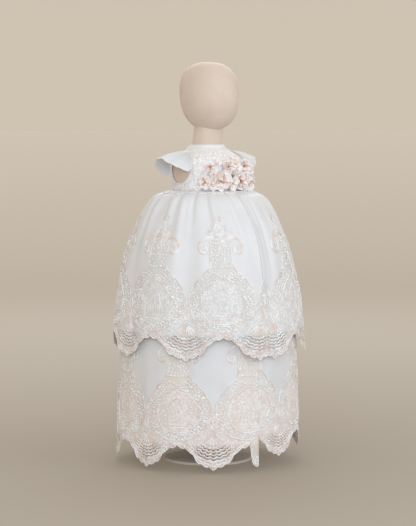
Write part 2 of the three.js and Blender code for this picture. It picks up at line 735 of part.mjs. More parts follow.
// A flared cap sleeve from the armhole's upper edge to its free rim
function sleeveGeometry(side) {
  const rim = new THREE.CatmullRomCurve3(
    SLEEVE_RIM.map((row) => new THREE.Vector3(side * row.out, row.back, row.z)),
    false,
    "centripetal",
  );
  const [columns, steps] = [21, 3];
  const grown = BINDING_RADIUS + SEAM_GAP + SLEEVE_SEAM.beyondBinding;
  const surface = (share, fall) => {
    const turn = THREE.MathUtils.lerp(SLEEVE_SEAM.from, SLEEVE_SEAM.to, share);
    const seam = armholePoint(turn, side, grown, BODY_EASE + BODICE + SEAM_GAP);
    const edge = rim.getPoint(share);
    const swell = Math.sin(Math.PI * share);
    const middle = seam.clone().lerp(edge, SLEEVE_PUFF.at);
    middle.z += SLEEVE_PUFF.up * swell;
    middle.x += side * SLEEVE_PUFF.out * swell;
    const place = new THREE.QuadraticBezierCurve3(seam, middle, edge).getPoint(fall);
    place.z += SLEEVE_GATHER_DEPTH * fall * swell * Math.cos(2 * Math.PI * SLEEVE_GATHERS * share);
    return place;
  };
  const rows = Array.from({ length: steps + 1 }, (_, r) =>
    Array.from({ length: columns + 1 }, (_, i) => {
      const [share, fall] = [i / columns, r / steps];
      const place = surface(share, fall);
      const step = 0.01;
      const across = surface(Math.min(share + step, 1), fall).sub(surface(Math.max(share - step, 0), fall));
      const outward = surface(share, Math.min(fall + step, 1)).sub(surface(share, Math.max(fall - step, 0)));
      const out = across.cross(outward).normalize().multiplyScalar(side);
      if (r === 0) out.set(side, 0, 0);
      return { u: share, inner: place.clone(), outer: place.clone().addScaledVector(out, SLEEVE_WALL) };
    }),
  );
  return wall(rows);
}

// The upright band that binds the neckline
function neckBandGeometry() {
  const columns = 24;
  const base = NECK_BAND.row + BODY_EASE + BODICE + SEAM_GAP;
  const rows = [0, NECK_BAND.height].map((rise) =>
    Array.from({ length: columns }, (_, i) => {
      const angle = (360 * i) / columns;
      const clear = BODY_EASE + (rise === 0 ? NECK_BAND.flare : 0);
      return {
        u: i / columns,
        inner: torsoPoint(angle, base + rise, clear),
        outer: torsoPoint(angle, base + rise, clear + NECK_BAND.thickness),
      };
    }),
  );
  return wall(rows, true);
}

// A fabric flower: five cupped petals in one piece of cloth, round a raised middle
function flowerGeometry(radius) {
  const columns = PETALS * PETAL_STEPS;
  const rows = FLOWER_RINGS.map(({ reach, rise, lobe }) =>
    Array.from({ length: columns }, (_, i) => {
      const turn = (2 * Math.PI * i) / columns;
      const petal = Math.abs(Math.sin((PETALS * turn) / 2));
      const out = radius * reach * (1 - PETAL_NOTCH.in * lobe * (1 - petal));
      const up = radius * rise * (1 - PETAL_NOTCH.down * lobe * (1 - petal));
      const place = new THREE.Vector3(out * Math.sin(turn), out * Math.cos(turn), up);
      return { u: i / columns, outer: place, inner: place.clone().setZ(up - PETAL_WALL) };
    }),
  );
  return plugged(rows, radius * FLOWER_CAP);
}

// A ring-shaped wall whose middle is closed by a raised cap above and a flat seat below
function plugged(rows, capRise) {
  const columns = rows[0].length;
  const places = rows.flat();
  const points = [...places.map((p) => p.outer), ...places.map((p) => p.inner)];
  const shift = rows.length * columns;
  const triangles = [];
  const at = (r, i) => r * columns + (i % columns);
  for (let r = 0; r < rows.length - 1; r++) {
    for (let i = 0; i < columns; i++) {
      const [a, b, c, d] = [at(r, i), at(r, i + 1), at(r + 1, i), at(r + 1, i + 1)];
      triangles.push([a, c, b], [b, c, d]);
      triangles.push([a + shift, b + shift, c + shift], [b + shift, d + shift, c + shift]);
    }
  }
  const last = rows.length - 1;
  const cap = points.push(new THREE.Vector3(0, 0, capRise)) - 1;
  const seat = points.push(new THREE.Vector3()) - 1;
  for (let i = 0; i < columns; i++) {
    const [a, b] = [at(last, i), at(last, i + 1)];
    triangles.push([a, a + shift, b], [b, a + shift, b + shift]);
    triangles.push([cap, at(0, i), at(0, i + 1)], [seat, at(0, i + 1) + shift, at(0, i) + shift]);
  }
  return geometryOf(points, triangles);
}

function poleGeometry() {
  const height = TORSO_FOOT - BASE.thickness - 2 * SEAM_GAP;
  return new THREE.CylinderGeometry(POLE_RADIUS, POLE_RADIUS, height, 16);
}

function baseGeometry() {
  return new THREE.CylinderGeometry(BASE.radius, BASE.radius, BASE.thickness, 40);
}

function buttonGeometry() {
  return new THREE.CylinderGeometry(BUTTON.topRadius, BUTTON.radius, BUTTON.thickness, 10);
}

const MATERIALS = {
  satin: new THREE.MeshStandardMaterial({ color: 0xe9e8e8, roughness: 0.45 }),
  lace: new THREE.MeshStandardMaterial({ color: 0xeae0d8, roughness: 0.7 }),
  organza: new THREE.MeshStandardMaterial({ color: 0xecebea, roughness: 0.5 }),
  binding: new THREE.MeshStandardMaterial({ color: 0xf1f1f3, roughness: 0.5 }),
  petal: new THREE.MeshStandardMaterial({ color: 0xe6c3b6, roughness: 0.6 }),
  form: new THREE.MeshStandardMaterial({ color: 0xdcc9b5, roughness: 0.6 }),
  stand: new THREE.MeshStandardMaterial({ color: 0xe6e1d8, roughness: 0.4, metalness: 0.2 }),
  pearl: new THREE.MeshStandardMaterial({ color: 0xf2ece4, roughness: 0.25 }),
};

function piece(name, geometry, material) {
  const mesh = new THREE.Mesh(geometry, MATERIALS[material]);
  mesh.name = name;
  return mesh;
}

function dressForm() {
  const group = new THREE.Group();
  const pole = piece("form_pole", poleGeometry(), "stand");
  pole.rotation.x = Math.PI / 2;
  pole.position.z = (TORSO_FOOT + BASE.thickness) / 2;
  const base = piece("form_base", baseGeometry(), "stand");
  base.rotation.x = Math.PI / 2;
  base.position.z = BASE.thickness / 2;
  const head = piece("form_head", headGeometry(), "form");
  const torso = piece("form_torso", torsoGeometry(), "form");
  group.add(head, torso, pole, base);
  return group;
}

function skirts() {
  const group = new THREE.Group();
  for (const part of HALVES) {
    group.add(piece(`${part.name}_skirt_${part.half}`, satinGeometry(part), "satin"));
    group.add(piece(`${part.name}_lace_${part.half}`, laceGeometry(part), "lace"));
  }
  return group;
}

function bodice() {
  const group = new THREE.Group();
  group.add(
    piece("bodice_front", bodicePanel(-90, 90, 16), "lace"),
    piece("bodice_back_right", bodicePanel(90, 180, 8), "lace"),
    piece("bodice_back_left", bodicePanel(180, 270, 8), "lace"),
    piece("neck_binding", neckBandGeometry(), "binding"),
  );
  for (const [name, side] of [["right", -1], ["left", 1]]) {
    group.add(piece(`armhole_binding_${name}`, armholeBinding(side), "binding"));
    group.add(piece(`sleeve_${name}`, sleeveGeometry(side), "organza"));
  }
  return group;
}

// Turns a piece's own +Z to point out of the bodice, and seats its origin on the cloth there
function seatOnBodice(mesh, angle, z, turn) {
  const out = torsoNormal(angle, z);
  const seat = BODY_EASE + BODICE + SEAM_GAP;
  mesh.position.copy(torsoPoint(angle, z)).addScaledVector(out, seat);
  mesh.quaternion.setFromUnitVectors(new THREE.Vector3(0, 0, 1), out);
  mesh.rotateZ(radians(turn));
}

function corsage() {
  const group = new THREE.Group();
  for (const { name, angle, z, radius, turn } of FLOWERS) {
    const flower = piece(name, flowerGeometry(radius), "petal");
    seatOnBodice(flower, angle, z, turn);
    group.add(flower);
  }
  return group;
}

function backButtons() {
  const group = new THREE.Group();
  BUTTON_HEIGHTS.forEach((z, i) => {
    const button = piece(`back_button_${i + 1}`, buttonGeometry().rotateX(Math.PI / 2), "pearl");
    seatOnBodice(button, 180, z, 0);
    button.translateZ(BUTTON.thickness / 2);
    group.add(button);
  });
  return group;
}

const gown = new THREE.Group();
gown.add(dressForm(), skirts(), bodice(), corsage(), backButtons());

// The folds aren't alike all round, so the whole is moved to stand with its middle over the origin
const middle = new THREE.Box3().setFromObject(gown, true).getCenter(new THREE.Vector3());
gown.position.set(-middle.x, -middle.y, 0);

export default gown;
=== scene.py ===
import math

import bpy
import numpy as np
from bpy.props import FloatProperty, FloatVectorProperty, PointerProperty
from bpy.types import Operator, Panel, PropertyGroup
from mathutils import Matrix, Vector


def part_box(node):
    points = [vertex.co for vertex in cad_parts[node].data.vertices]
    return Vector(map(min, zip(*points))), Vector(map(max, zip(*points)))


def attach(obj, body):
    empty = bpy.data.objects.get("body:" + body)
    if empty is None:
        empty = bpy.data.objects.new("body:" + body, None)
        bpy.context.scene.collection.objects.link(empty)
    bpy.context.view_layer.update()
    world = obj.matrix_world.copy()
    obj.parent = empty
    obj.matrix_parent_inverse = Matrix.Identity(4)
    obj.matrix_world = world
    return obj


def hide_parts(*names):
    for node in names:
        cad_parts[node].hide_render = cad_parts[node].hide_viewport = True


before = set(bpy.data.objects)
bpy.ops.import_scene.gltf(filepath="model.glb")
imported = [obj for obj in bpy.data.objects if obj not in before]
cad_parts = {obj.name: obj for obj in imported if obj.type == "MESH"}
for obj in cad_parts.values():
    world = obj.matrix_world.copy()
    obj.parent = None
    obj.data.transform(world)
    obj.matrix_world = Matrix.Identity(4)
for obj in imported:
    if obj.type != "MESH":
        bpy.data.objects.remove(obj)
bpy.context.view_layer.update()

bl_info = {
    "name": "Christening gown",
    "version": (1, 0, 0),
    "blender": (4, 5, 0),
    "location": "3D Viewport > Sidebar > Gown",
    "description": "A two-tier satin and lace christening gown on a dress form",
    "category": "Add Mesh",
}

# Millimetres to metres, and the form's axis in the row frame
MM = 0.001
POLE_BOX = np.array(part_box("form_pole"))
AXIS = POLE_BOX.mean(axis=0) * np.array([1, 1, 0])

# The gown's own measures in millimetres, as the part's source has them
WAIST = 623
SATIN = 1.5
SEAM_GAP = 0.3
BODICE_OUT = 2.5
SLEEVE_OUT = 2.8
TORSO_SQUARENESS = 2.3
TORSO_BEND = 2 / TORSO_SQUARENESS
TORSO_RINGS = np.array([
    # height, half width, half depth, back
    (560, 70, 60, 0), (590, 75, 64, 0), (623, 78, 67, 0), (650, 82, 68, 0), (675, 84, 66, 0), (692, 79, 60, 1),
    (704, 66, 52, 3), (712, 51, 44, 4), (718, 41, 39, 5), (724, 36, 36, 5), (736, 33, 33, 2), (790, 31, 31, -5),
], float)
HEAD = {"height": 155, "width": 124, "depth": 154, "chin": 761, "squareness": 2.45, "taper": 0.05, "lean": 10}
BASE = {"radius": 100, "thickness": 6}
POLE = {"radius": 11, "foot": 6.3, "top": 559.7}
ARMHOLE = {"y": -1, "z": 673, "half": 34, "beyond": 40}
BINDING_RADIUS = 1.6
# The bodice's flat width is measured at this half width, and its scalloped lower edge by these lengths
BODICE_FLAT = 78
BODICE_EDGE = {"rows": 9, "length": 16, "scallop": 8, "uneven": 4, "flat": 24}
NECK_BAND = {"foot": 718.8, "height": 9, "thickness": 2.2, "clear": 0.9, "flare": 1.5, "bend": 0.7}
BUTTON_HEIGHTS = (640, 662, 684, 704)
BUTTON_PROFILE = np.array([(4.2, 0), (4.5, 0.5), (4.3, 1.4), (3.4, 2.4), (1.8, 2.9), (0.5, 3)])

UPPER_PROFILE = ((76.9, 622.7), (96, 617), (119, 606), (150, 566), (181, 501), (198, 434), (209, 353), (214, 285),
                 (217, 251))
LOWER_PROFILE = ((73.4, 622.7), (82, 604), (122, 520), (168, 420), (196, 330), (201, 260), (204, 140), (206, 8))
WAIST_PLAN = {"half_width": 78 / 72.5, "half_depth": 67 / 72.5, "round_from": 150}
LEFT_LIFT = {"height": 20, "from": -180, "to": -90}

# Large folds: angle from centre front, half width in degrees, depth, and the stretch along the cloth where it grows
UPPER_FOLDS = (
    (12, 11, 6, 30, 330), (28, 14, 3, 60, 300), (51, 13, -7, 40, 300), (72, 19, 3, 80, 360), (95, 13, -6, 40, 320),
    (118, 18, 4, 60, 340), (142, 13, -6, 60, 330), (166, 14, 4, 70, 350), (-6, 10, -6, 40, 300),
    (-28, 12, 2, 60, 330), (-52, 12, 6, 50, 330), (-78, 18, 5, 70, 350), (-104, 13, -6, 50, 320),
    (-132, 18, 4, 60, 340), (-158, 13, -6, 60, 330),
)
LOWER_FOLDS = (
    (16, 14, 3, 330, 560), (44, 14, -3.5, 330, 560), (66, 16, 2.5, 330, 560), (88, 14, -3.5, 330, 560),
    (124, 19, 3, 330, 560), (156, 16, -3.5, 330, 560), (-12, 14, -3, 330, 560), (-40, 18, 3, 330, 560),
    (-72, 14, -3.5, 330, 560), (-110, 19, 3, 330, 560), (-148, 16, -3.5, 330, 560),
)
# Finer creases: angle at the waist, drift in degrees, half width, depth, and where each starts, peaks and ends
UPPER_CREASES = (
    (1, -3, 5, 4, 12, 120, 330), (14, -2, 3.5, -4.2, 6, 80, 320), (30, 2, 4, 2.4, 15, 80, 230),
    (49, 3, 4, -4.5, 4, 40, 170), (60, 3, 5, 2.6, 10, 80, 260), (77, 2, 4.5, -3.2, 10, 75, 240),
    (92, 2, 5, 2.8, 14, 90, 260), (108, -2, 4, -3, 8, 70, 230), (127, 2, 5, 3, 10, 90, 270),
    (147, -3, 4, -3.2, 8, 60, 220), (171, 2, 5, 3, 12, 90, 280), (-11, 2, 3.5, -4.2, 6, 80, 320),
    (-23, -3, 5, 3, 10, 90, 280), (-41, 2, 4, -3, 8, 60, 210), (-60, -2, 5, 2.8, 12, 90, 260),
    (-84, 3, 4, -3.2, 8, 70, 240), (-101, -2, 5, 3, 10, 90, 270), (-122, 2, 4, -3, 8, 60, 220),
    (-145, -3, 5, 2.8, 10, 90, 260), (-168, 2, 4, -3.2, 8, 70, 230),
)
LOWER_CREASES = (
    (25, 2, 6, 2, 330, 470, 620), (52, -2, 5, -2, 330, 460, 610), (79, 2, 6, 2, 330, 480, 620),
    (104, -2, 5, -1.8, 330, 450, 600), (138, 2, 6, 2, 330, 470, 620), (-2, 2, 5, -2, 330, 460, 610),
    (-27, -2, 6, 2, 330, 470, 620), (-56, 2, 5, -2, 330, 460, 600), (-92, 2, 6, 2, 330, 480, 620),
    (-130, -2, 5, -1.8, 330, 450, 600), (-166, 2, 6, 2, 330, 470, 620),
)
GATHERS = 24
GATHER_DEPTHS = np.array([(0, 1.1), (25, 4.2), (90, 2.6), (200, 0.7), (290, 0)])

# Lace border: scallops, outline and where each medallion stands
REPEAT_ANGLE = 45
NOTCH_RISE = 52
SCALLOP_STEP = {"part": 0.38, "from": 0.36, "to": 0.72}
PICOTS = {"depth": 4.5, "count": 9}
SATIN_ABOVE_TIP = 58
LACE_OUT = 1.9
# Rows and columns of points on a half's satin and net, and how far in degrees they stay clear of its edges
SATIN_GRID = (90, 182)
NET_GRID = (104, 236)
EDGE_CLEAR = 0.05
MEDALLION_EDGE = np.array([
    # rise, half width
    (126, 82), (150, 73), (176, 54), (208, 25), (230, 25), (241, 46), (264, 45), (283, 20), (304, 9), (330, 1.2),
], float)
FAN_APEX = 84
FAN_ARCS = {"first": 33, "pitch": 7, "count": 4, "waves": 12, "wave": 3.0, "half_turn": 45}
# The loose corner of one half at the front: its angles, its outline, and the small points along it
FRONT_CORNER = {"half": ("lower", "right"), "notch": 12, "edge": 5, "shares": (0, 0.06, 0.3, 0.62, 1),
                "rises": (52, 52, 14, 5, 3), "point_depth": 4, "point_turn": 9}
HALVES = (
    {"name": "upper", "half": "right", "from": 0, "to": 180, "top": 332, "middles": (-16, 29, 74, 119, 164, 209)},
    {"name": "upper", "half": "left", "from": -180, "to": 0, "top": 332, "middles": (-209, -164, -119, -74, -29, 16)},
    {"name": "lower", "half": "right", "from": 5, "to": 180, "top": 288, "middles": (12, 57.2, 102.4, 147.8, 193.6)},
    {"name": "lower", "half": "left", "from": -180, "to": 5, "top": 288,
     "middles": (-215.5, -170.5, -125.5, -80.5, -35.5, 9.5)},
)

# The cap sleeve's rim from front to back: out from the middle, back and height
SLEEVE_RIM = np.array([
    (88, -41, 667), (108, -36, 675), (126, -22, 686), (138, 2, 698), (135, 22, 687), (121, 33, 671), (104, 38, 660),
    (88, 40, 655),
], float)
SLEEVE = {"seam_from": 2, "seam_to": 196, "grown": 4.4, "puff_up": 9, "puff_out": 3, "puff_at": 0.45, "gathers": 7,
          "gather_depth": 1.4}

# Corsage flowers: name, angle, height, radius, turn
FLOWERS = (
    ("flower_1", 38, 644, 16, 32), ("flower_2", 9, 645, 22, 12), ("flower_3", -21, 645, 21, -20),
    ("flower_4", -50, 645, 19, -36), ("flower_5", 28, 676, 11, 40), ("flower_6", -1, 676, 17, 0),
    ("flower_7", -34, 676, 16, -28),
)

# Rounds of petals in a blossom: how many, length as a share of the radius, lean, cup and turn
PETAL_ROUNDS = ((7, 1.0, 0.04, 0.22, 0), (6, 0.8, 0.16, 0.24, 25), (5, 0.52, 0.34, 0.3, 10))
FILLER_ROUNDS = ((6, 1.0, 0.1, 0.25, 0), (5, 0.62, 0.35, 0.3, 30))
PETAL_GRID = (8, 7)
# How the blossoms turn towards the front: a share of their own angle, a turn in degrees, and a lift for each degree
FACING = {"share": 0.6, "turn": 10, "lift": 0.14}
# Small blossoms between the flowers: angle, height, radius and how far they stand off the bodice
FILLERS = (
    (22, 660, 12, 1), (5, 661, 12, 2), (-14, 661, 13, 2), (-33, 661, 13, 2), (-52, 664, 14, 4), (24, 634, 11, 1),
    (-6, 632, 12, 2), (-34, 633, 13, 2), (-56, 638, 16, 8), (-64, 652, 15, 8), (12, 686, 9, 0), (-16, 689, 11, 1),
    (-46, 682, 12, 1), (-62, 672, 13, 5), (-20, 655, 11, 5), (12, 655, 11, 4), (-42, 652, 12, 6), (-8, 648, 10, 7),
    (-30, 640, 11, 7), (-16, 674, 11, 3), (-48, 634, 12, 6), (24, 648, 9, 3), (-58, 626, 11, 9),
)


# ---------------------------------------------------------------- shapes

def smoothstep(value, low, high):
    """0 below low, 1 above high, and a smooth step between them."""
    share = np.clip((value - low) / (high - low), 0, 1)
    return share * share * (3 - 2 * share)


def hermite(place, places, values):
    """A cubic through a table's rows, its slope at each row taken from the rows on either side."""
    places, values = np.asarray(places, float), np.asarray(values, float)
    rows = np.arange(len(places))
    before, after = np.maximum(rows - 1, 0), np.minimum(rows + 1, len(rows) - 1)
    slope = (values[after] - values[before]) / (places[after] - places[before])
    i = np.clip(np.searchsorted(places, place, side="right") - 1, 0, len(rows) - 2)
    width = places[i + 1] - places[i]
    s = np.clip((place - places[i]) / width, 0, 1)
    return ((1 + 2 * s) * (1 - s) ** 2 * values[i] + s * (1 - s) ** 2 * width * slope[i]
            + s * s * (3 - 2 * s) * values[i + 1] + s * s * (s - 1) * width * slope[i + 1])


def smooth_path(points, spacing=3.0):
    """A smooth path through given points, by a cubic in the length along them, about spacing apart."""
    points = np.asarray(points, float)
    lengths = np.concatenate([[0], np.cumsum(np.linalg.norm(np.diff(points, axis=0), axis=1))])
    along = np.linspace(0, lengths[-1], max(int(lengths[-1] / spacing), 2) + 1)
    return np.stack([hermite(along, lengths, points[:, k]) for k in range(points.shape[1])], axis=1)


def profile_curve(profile, steps=120):
    """A centripetal curve through a tier's profile rows: length along it, radius and height at fine steps."""
    rows = np.array(profile, float)
    rows = np.vstack([2 * rows[0] - rows[1], rows, 2 * rows[-1] - rows[-2]])
    gaps = np.linalg.norm(np.diff(rows, axis=0), axis=1) ** 0.5
    p0, p1, p2, p3 = rows[:-3], rows[1:-2], rows[2:-1], rows[3:]
    g0, g1, g2 = gaps[:-2, None], gaps[1:-1, None], gaps[2:, None]
    start = ((p1 - p0) / g0 - (p2 - p0) / (g0 + g1) + (p2 - p1) / g1) * g1
    end = ((p2 - p1) / g1 - (p3 - p1) / (g1 + g2) + (p3 - p2) / g2) * g1
    t = np.linspace(0, 1, steps, endpoint=False)[:, None, None]
    pieces = p1 + start * t + (3 * (p2 - p1) - 2 * start - end) * t ** 2 + (2 * (p1 - p2) + start + end) * t ** 3
    curve = np.vstack([pieces.transpose(1, 0, 2).reshape(-1, 2), rows[-2]])
    along = np.concatenate([[0], np.cumsum(np.linalg.norm(np.diff(curve, axis=0), axis=1))])
    return along, curve[:, 0], curve[:, 1]


def bent(value, power):
    """A sine or cosine with its size raised to a power and its sign kept, which squares a circle off."""
    return np.sign(value) * np.abs(value) ** power


def full_turn(count):
    """Evenly spaced angles round a circle, in radians."""
    return np.linspace(0, 2 * np.pi, count, endpoint=False)


def together(*coordinates):
    """Points from arrays of their coordinates, each spread to the same rows and columns."""
    return np.stack(np.broadcast_arrays(*coordinates), axis=-1)


def bump(offset, width):
    """1 at the middle, fading along a cosine to 0 at one width away."""
    return 0.5 + 0.5 * np.cos(np.pi * np.minimum(np.abs(offset) / width, 1))


def turn_between(angle, middle):
    """The turn from one angle to another, between -180 and 180 degrees."""
    return (angle - middle + 180) % 360 - 180


def unit(vectors):
    """Vectors brought to length 1."""
    return vectors / np.maximum(np.linalg.norm(vectors, axis=-1, keepdims=True), 1e-9)


NUDGE = 0.4


class Tier:
    """One tier of the skirt: a profile turned round the axis, with gathers, folds and creases added to its radius."""

    def __init__(self, profile, folds, creases, gathered, lift=0.0):
        self.along, self.radii, self.heights = profile_curve(profile)
        self.length = self.along[-1]
        self.folds, self.creases, self.gathered, self.lift = folds, creases, gathered, lift

    def radius(self, along):
        """The plain radius at a distance along the cloth."""
        return np.interp(along, self.along, self.radii)

    def depth(self, angle, along):
        """How far the cloth stands out of the profile: cosine gathers at the waist, cosine folds that grow downwards,
        and creases that grow, peak and fade."""
        total = np.zeros(np.broadcast(angle, along).shape)
        if self.gathered:
            uneven = 0.62 + 0.32 * np.sin(np.radians(5 * angle)) + 0.3 * np.sin(np.radians(11 * angle + 40))
            phase = np.radians(GATHERS * angle + 25 * np.sin(np.radians(3 * angle)))
            fine = 0.3 * np.cos(2.3 * phase + 1.1) * np.exp(-along / 45)
            total = total + hermite(along, GATHER_DEPTHS[:, 0], GATHER_DEPTHS[:, 1]) * uneven * (np.cos(phase) + fine)
        for middle, width, depth, start, end in self.folds:
            total = total + depth * smoothstep(along, start, end) * bump(turn_between(angle, middle), width)
        for middle, drift, width, depth, start, peak, end in self.creases:
            grown = smoothstep(along, start, peak) * (1 - smoothstep(along, peak, end))
            leaning = middle + drift * (along - start) / (end - start)
            total = total + depth * grown * bump(turn_between(angle, leaning), width)
        return total

    def point(self, angle, along):
        """The inner face: the profile's radius plus the folds, on an oval at the waist that turns round below it."""
        radius = self.radius(along) + self.depth(angle, along)
        turned = np.radians(angle)
        share = smoothstep(along, 0, WAIST_PLAN["round_from"])
        oval_x = bent(np.sin(turned), TORSO_BEND) * WAIST_PLAN["half_width"]
        oval_y = bent(np.cos(turned), TORSO_BEND) * WAIST_PLAN["half_depth"]
        x = -radius * (oval_x * (1 - share) + np.sin(turned) * share)
        y = -radius * (oval_y * (1 - share) + np.cos(turned) * share)
        lift = self.lift * smoothstep(angle, LEFT_LIFT["from"], LEFT_LIFT["to"])
        z = np.interp(along, self.along, self.heights) + lift * (along / self.length) ** 2
        return together(x, y, z)

    def frame(self, angle, along):
        """The inner face's points, and directions round the gown, down it and out of it."""
        across = unit(self.point(angle + NUDGE, along) - self.point(angle - NUDGE, along))
        down = unit(self.point(angle, np.minimum(along + NUDGE, self.length))
                    - self.point(angle, np.maximum(along - NUDGE, 0)))
        out = np.cross(across, down)
        out[..., 2] *= smoothstep(along, 0, 18)
        return self.point(angle, along), across, down, unit(out)

    def cloth(self, angle, along, out):
        """The inner face moved out along its own normal."""
        place, _, _, normal = self.frame(angle, along)
        return place + normal * np.asarray(out)[..., None]


TIERS = {
    ("upper", "right"): Tier(UPPER_PROFILE, UPPER_FOLDS, UPPER_CREASES, True),
    ("upper", "left"): Tier(UPPER_PROFILE, UPPER_FOLDS, UPPER_CREASES, True),
    ("lower", "right"): Tier(LOWER_PROFILE, LOWER_FOLDS, LOWER_CREASES, False),
    ("lower", "left"): Tier(LOWER_PROFILE, LOWER_FOLDS, LOWER_CREASES, False, LEFT_LIFT["height"]),
}


def tier_of(half):
    """The tier that a half is cut from."""
    return TIERS[half["name"], half["half"]]


def has_corner(half):
    """Whether a half ends in the loose corner at the front."""
    return (half["name"], half["half"]) == FRONT_CORNER["half"]


def torso_point(angle, z, grown=0.0):
    """The torso: at each height a rounded oval, its half width, half depth and middle read smoothly from the rings."""
    ring = [hermite(z, TORSO_RINGS[:, 0], TORSO_RINGS[:, k]) for k in (1, 2, 3)]
    x = -(ring[0] + grown) * bent(np.sin(np.radians(angle)), TORSO_BEND)
    y = ring[2] - (ring[1] + grown) * bent(np.cos(np.radians(angle)), TORSO_BEND)
    return together(x, y, z)


def torso_frame(angle, z):
    """The torso's points, and directions round it, down it and out of it."""
    across = unit(torso_point(angle + NUDGE, z) - torso_point(angle - NUDGE, z))
    down = unit(torso_point(angle, z - NUDGE) - torso_point(angle, z + NUDGE))
    return torso_point(angle, z), across, down, unit(np.cross(across, down))


def torso_cloth(angle, z, out):
    """The torso's surface moved out along its own normal."""
    place, _, _, normal = torso_frame(angle, z)
    return place + normal * np.asarray(out)[..., None]


def torso_side(y, z, side, out):
    """The point of the torso's side at a depth and height, moved out along the normal; side is -1 on the right."""
    half_depth = hermite(z, TORSO_RINGS[:, 0], TORSO_RINGS[:, 2])
    back = hermite(z, TORSO_RINGS[:, 0], TORSO_RINGS[:, 3])
    share = np.minimum(np.abs(y - back) / half_depth, 0.999)
    turned_in = (1 - share ** TORSO_SQUARENESS) ** 0.5
    ahead = -np.sign(y - back) * share ** (TORSO_SQUARENESS / 2)
    return torso_cloth(-side * np.degrees(np.arctan2(turned_in, ahead)), z, out)


def armhole(turn, side, grown, out):
    """The armhole's ellipse on the side of the torso, from its front over the shoulder to its back."""
    reach = ARMHOLE["half"] + grown
    y = ARMHOLE["y"] - reach * np.cos(np.radians(turn))
    return torso_side(y, ARMHOLE["z"] + reach * np.sin(np.radians(turn)), side, out)


def in_armhole(points, grown):
    """Whether each point lies inside an armhole grown by so much."""
    reach = np.hypot(points[:, 1] - ARMHOLE["y"], points[:, 2] - ARMHOLE["z"])
    return (reach < ARMHOLE["half"] + grown) & (np.abs(points[:, 0]) > ARMHOLE["beyond"])


def scallop_rise(share):
    """Height of the scalloped hem from a fan's tip (0) to the notch beside it (1): a slope with a soft step, and a row
    of rounded points."""
    step = smoothstep(share, SCALLOP_STEP["from"], SCALLOP_STEP["to"])
    slope = NOTCH_RISE * ((1 - SCALLOP_STEP["part"]) * share + SCALLOP_STEP["part"] * step)
    return slope, PICOTS["depth"] * (1 - np.abs(np.cos(np.pi / 2 * PICOTS["count"] * share)))


def fan_angles(middles):
    """Angles of the fans: between each two medallions, and half a repeat beyond the last one at either end."""
    middles = np.array(sorted(middles), float)
    return np.concatenate([[middles[0] - REPEAT_ANGLE / 2], (middles[1:] + middles[:-1]) / 2,
                           [middles[-1] + REPEAT_ANGLE / 2]])


def hem_rise(half, angle):
    """Height of a lace border's lower edge above the level of its tips, at an angle."""
    fans = fan_angles(half["middles"])
    share = np.min(np.abs(angle[..., None] - fans), axis=-1) / (REPEAT_ANGLE / 2)
    rise = sum(scallop_rise(np.minimum(share, 1)))
    if has_corner(half):
        corner = (FRONT_CORNER["notch"] - angle) / (FRONT_CORNER["notch"] - FRONT_CORNER["edge"])
        points = FRONT_CORNER["point_depth"] * np.abs(np.sin(FRONT_CORNER["point_turn"] * corner))
        loose = np.interp(corner, FRONT_CORNER["shares"], FRONT_CORNER["rises"]) + points
        rise = np.where(angle < FRONT_CORNER["notch"], loose, rise)
    return rise


# ---------------------------------------------------------------- meshes

def quads(rows, columns, closed=False, flip=False):
    """Corner indices of a grid of rows and columns of points, its last column joined to the first where closed."""
    i, j = np.meshgrid(np.arange(rows - 1), np.arange(columns if closed else columns - 1), indexing="ij")
    k = (j + 1) % columns
    corners = np.stack([i * columns + j, i * columns + k, (i + 1) * columns + k, (i + 1) * columns + j], axis=-1)
    corners = corners.reshape(-1, 4)
    return corners[:, ::-1] if flip else corners


def copies(faces, count, size):
    """The faces of a shape that has so many points, repeated for a number of copies of it."""
    return (faces[None] + (np.arange(count) * size)[:, None, None]).reshape(-1, faces.shape[1])


def capped(points, flip=False):
    """A closed grid with a point added in the middle of its first ring and of its last: all points, and their faces."""
    rows, columns = points.shape[:2]
    j = np.arange(columns)
    k = (j + 1) % columns
    first = np.stack([k, j, np.full(columns, rows * columns)], axis=1)
    last = np.stack([j, k, np.full(columns, columns + 1)], axis=1) + (rows - 1) * columns
    ends = np.concatenate([first, last])
    return (np.concatenate([points.reshape(-1, 3), points[[0, -1]].mean(axis=1)]),
            [quads(rows, columns, True, flip), ends[:, ::-1] if flip else ends])


def make_object(name, points, faces, material, uv=None, values=None):
    """A smooth-shaded object from points in millimetres and a list of face arrays. uv has one row per face corner and
    values holds named numbers, one per point. Points that no face uses are left out."""
    corners = np.concatenate([np.asarray(f).ravel() for f in faces])
    sizes = np.concatenate([np.full(len(f), np.asarray(f).shape[1]) for f in faces])
    used, corners = np.unique(corners, return_inverse=True)
    points = np.asarray(points, float).reshape(-1, 3)[used] * MM + AXIS
    mesh = bpy.data.meshes.new(name)
    mesh.vertices.add(len(points))
    mesh.vertices.foreach_set("co", points.ravel())
    mesh.loops.add(len(corners))
    mesh.loops.foreach_set("vertex_index", corners.ravel().astype(np.int32))
    mesh.polygons.add(len(sizes))
    mesh.polygons.foreach_set("loop_start", np.concatenate([[0], np.cumsum(sizes)[:-1]]).astype(np.int32))
    mesh.polygons.foreach_set("use_smooth", np.ones(len(sizes), bool))
    mesh.update(calc_edges=True)
    if uv is not None:
        mesh.uv_layers.new(name="flat").data.foreach_set("uv", np.asarray(uv, np.float32).ravel())
    for key, numbers in (values or {}).items():
        layer = mesh.attributes.new(key, "FLOAT", "POINT")
        layer.data.foreach_set("value", np.asarray(numbers, np.float32).ravel()[used])
    mesh.validate()
    mesh.materials.append(material)
    obj = bpy.data.objects.new(name, mesh)
    bpy.context.scene.collection.objects.link(obj)
    return obj


def place(obj, slot, *nodes):
    """The piece rides on the gown's one body and stands for its CAD nodes, which are hidden; the slot it is given is
    not used.
    """
    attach(obj, "root")
    if nodes:
        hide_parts(*nodes)
    return obj


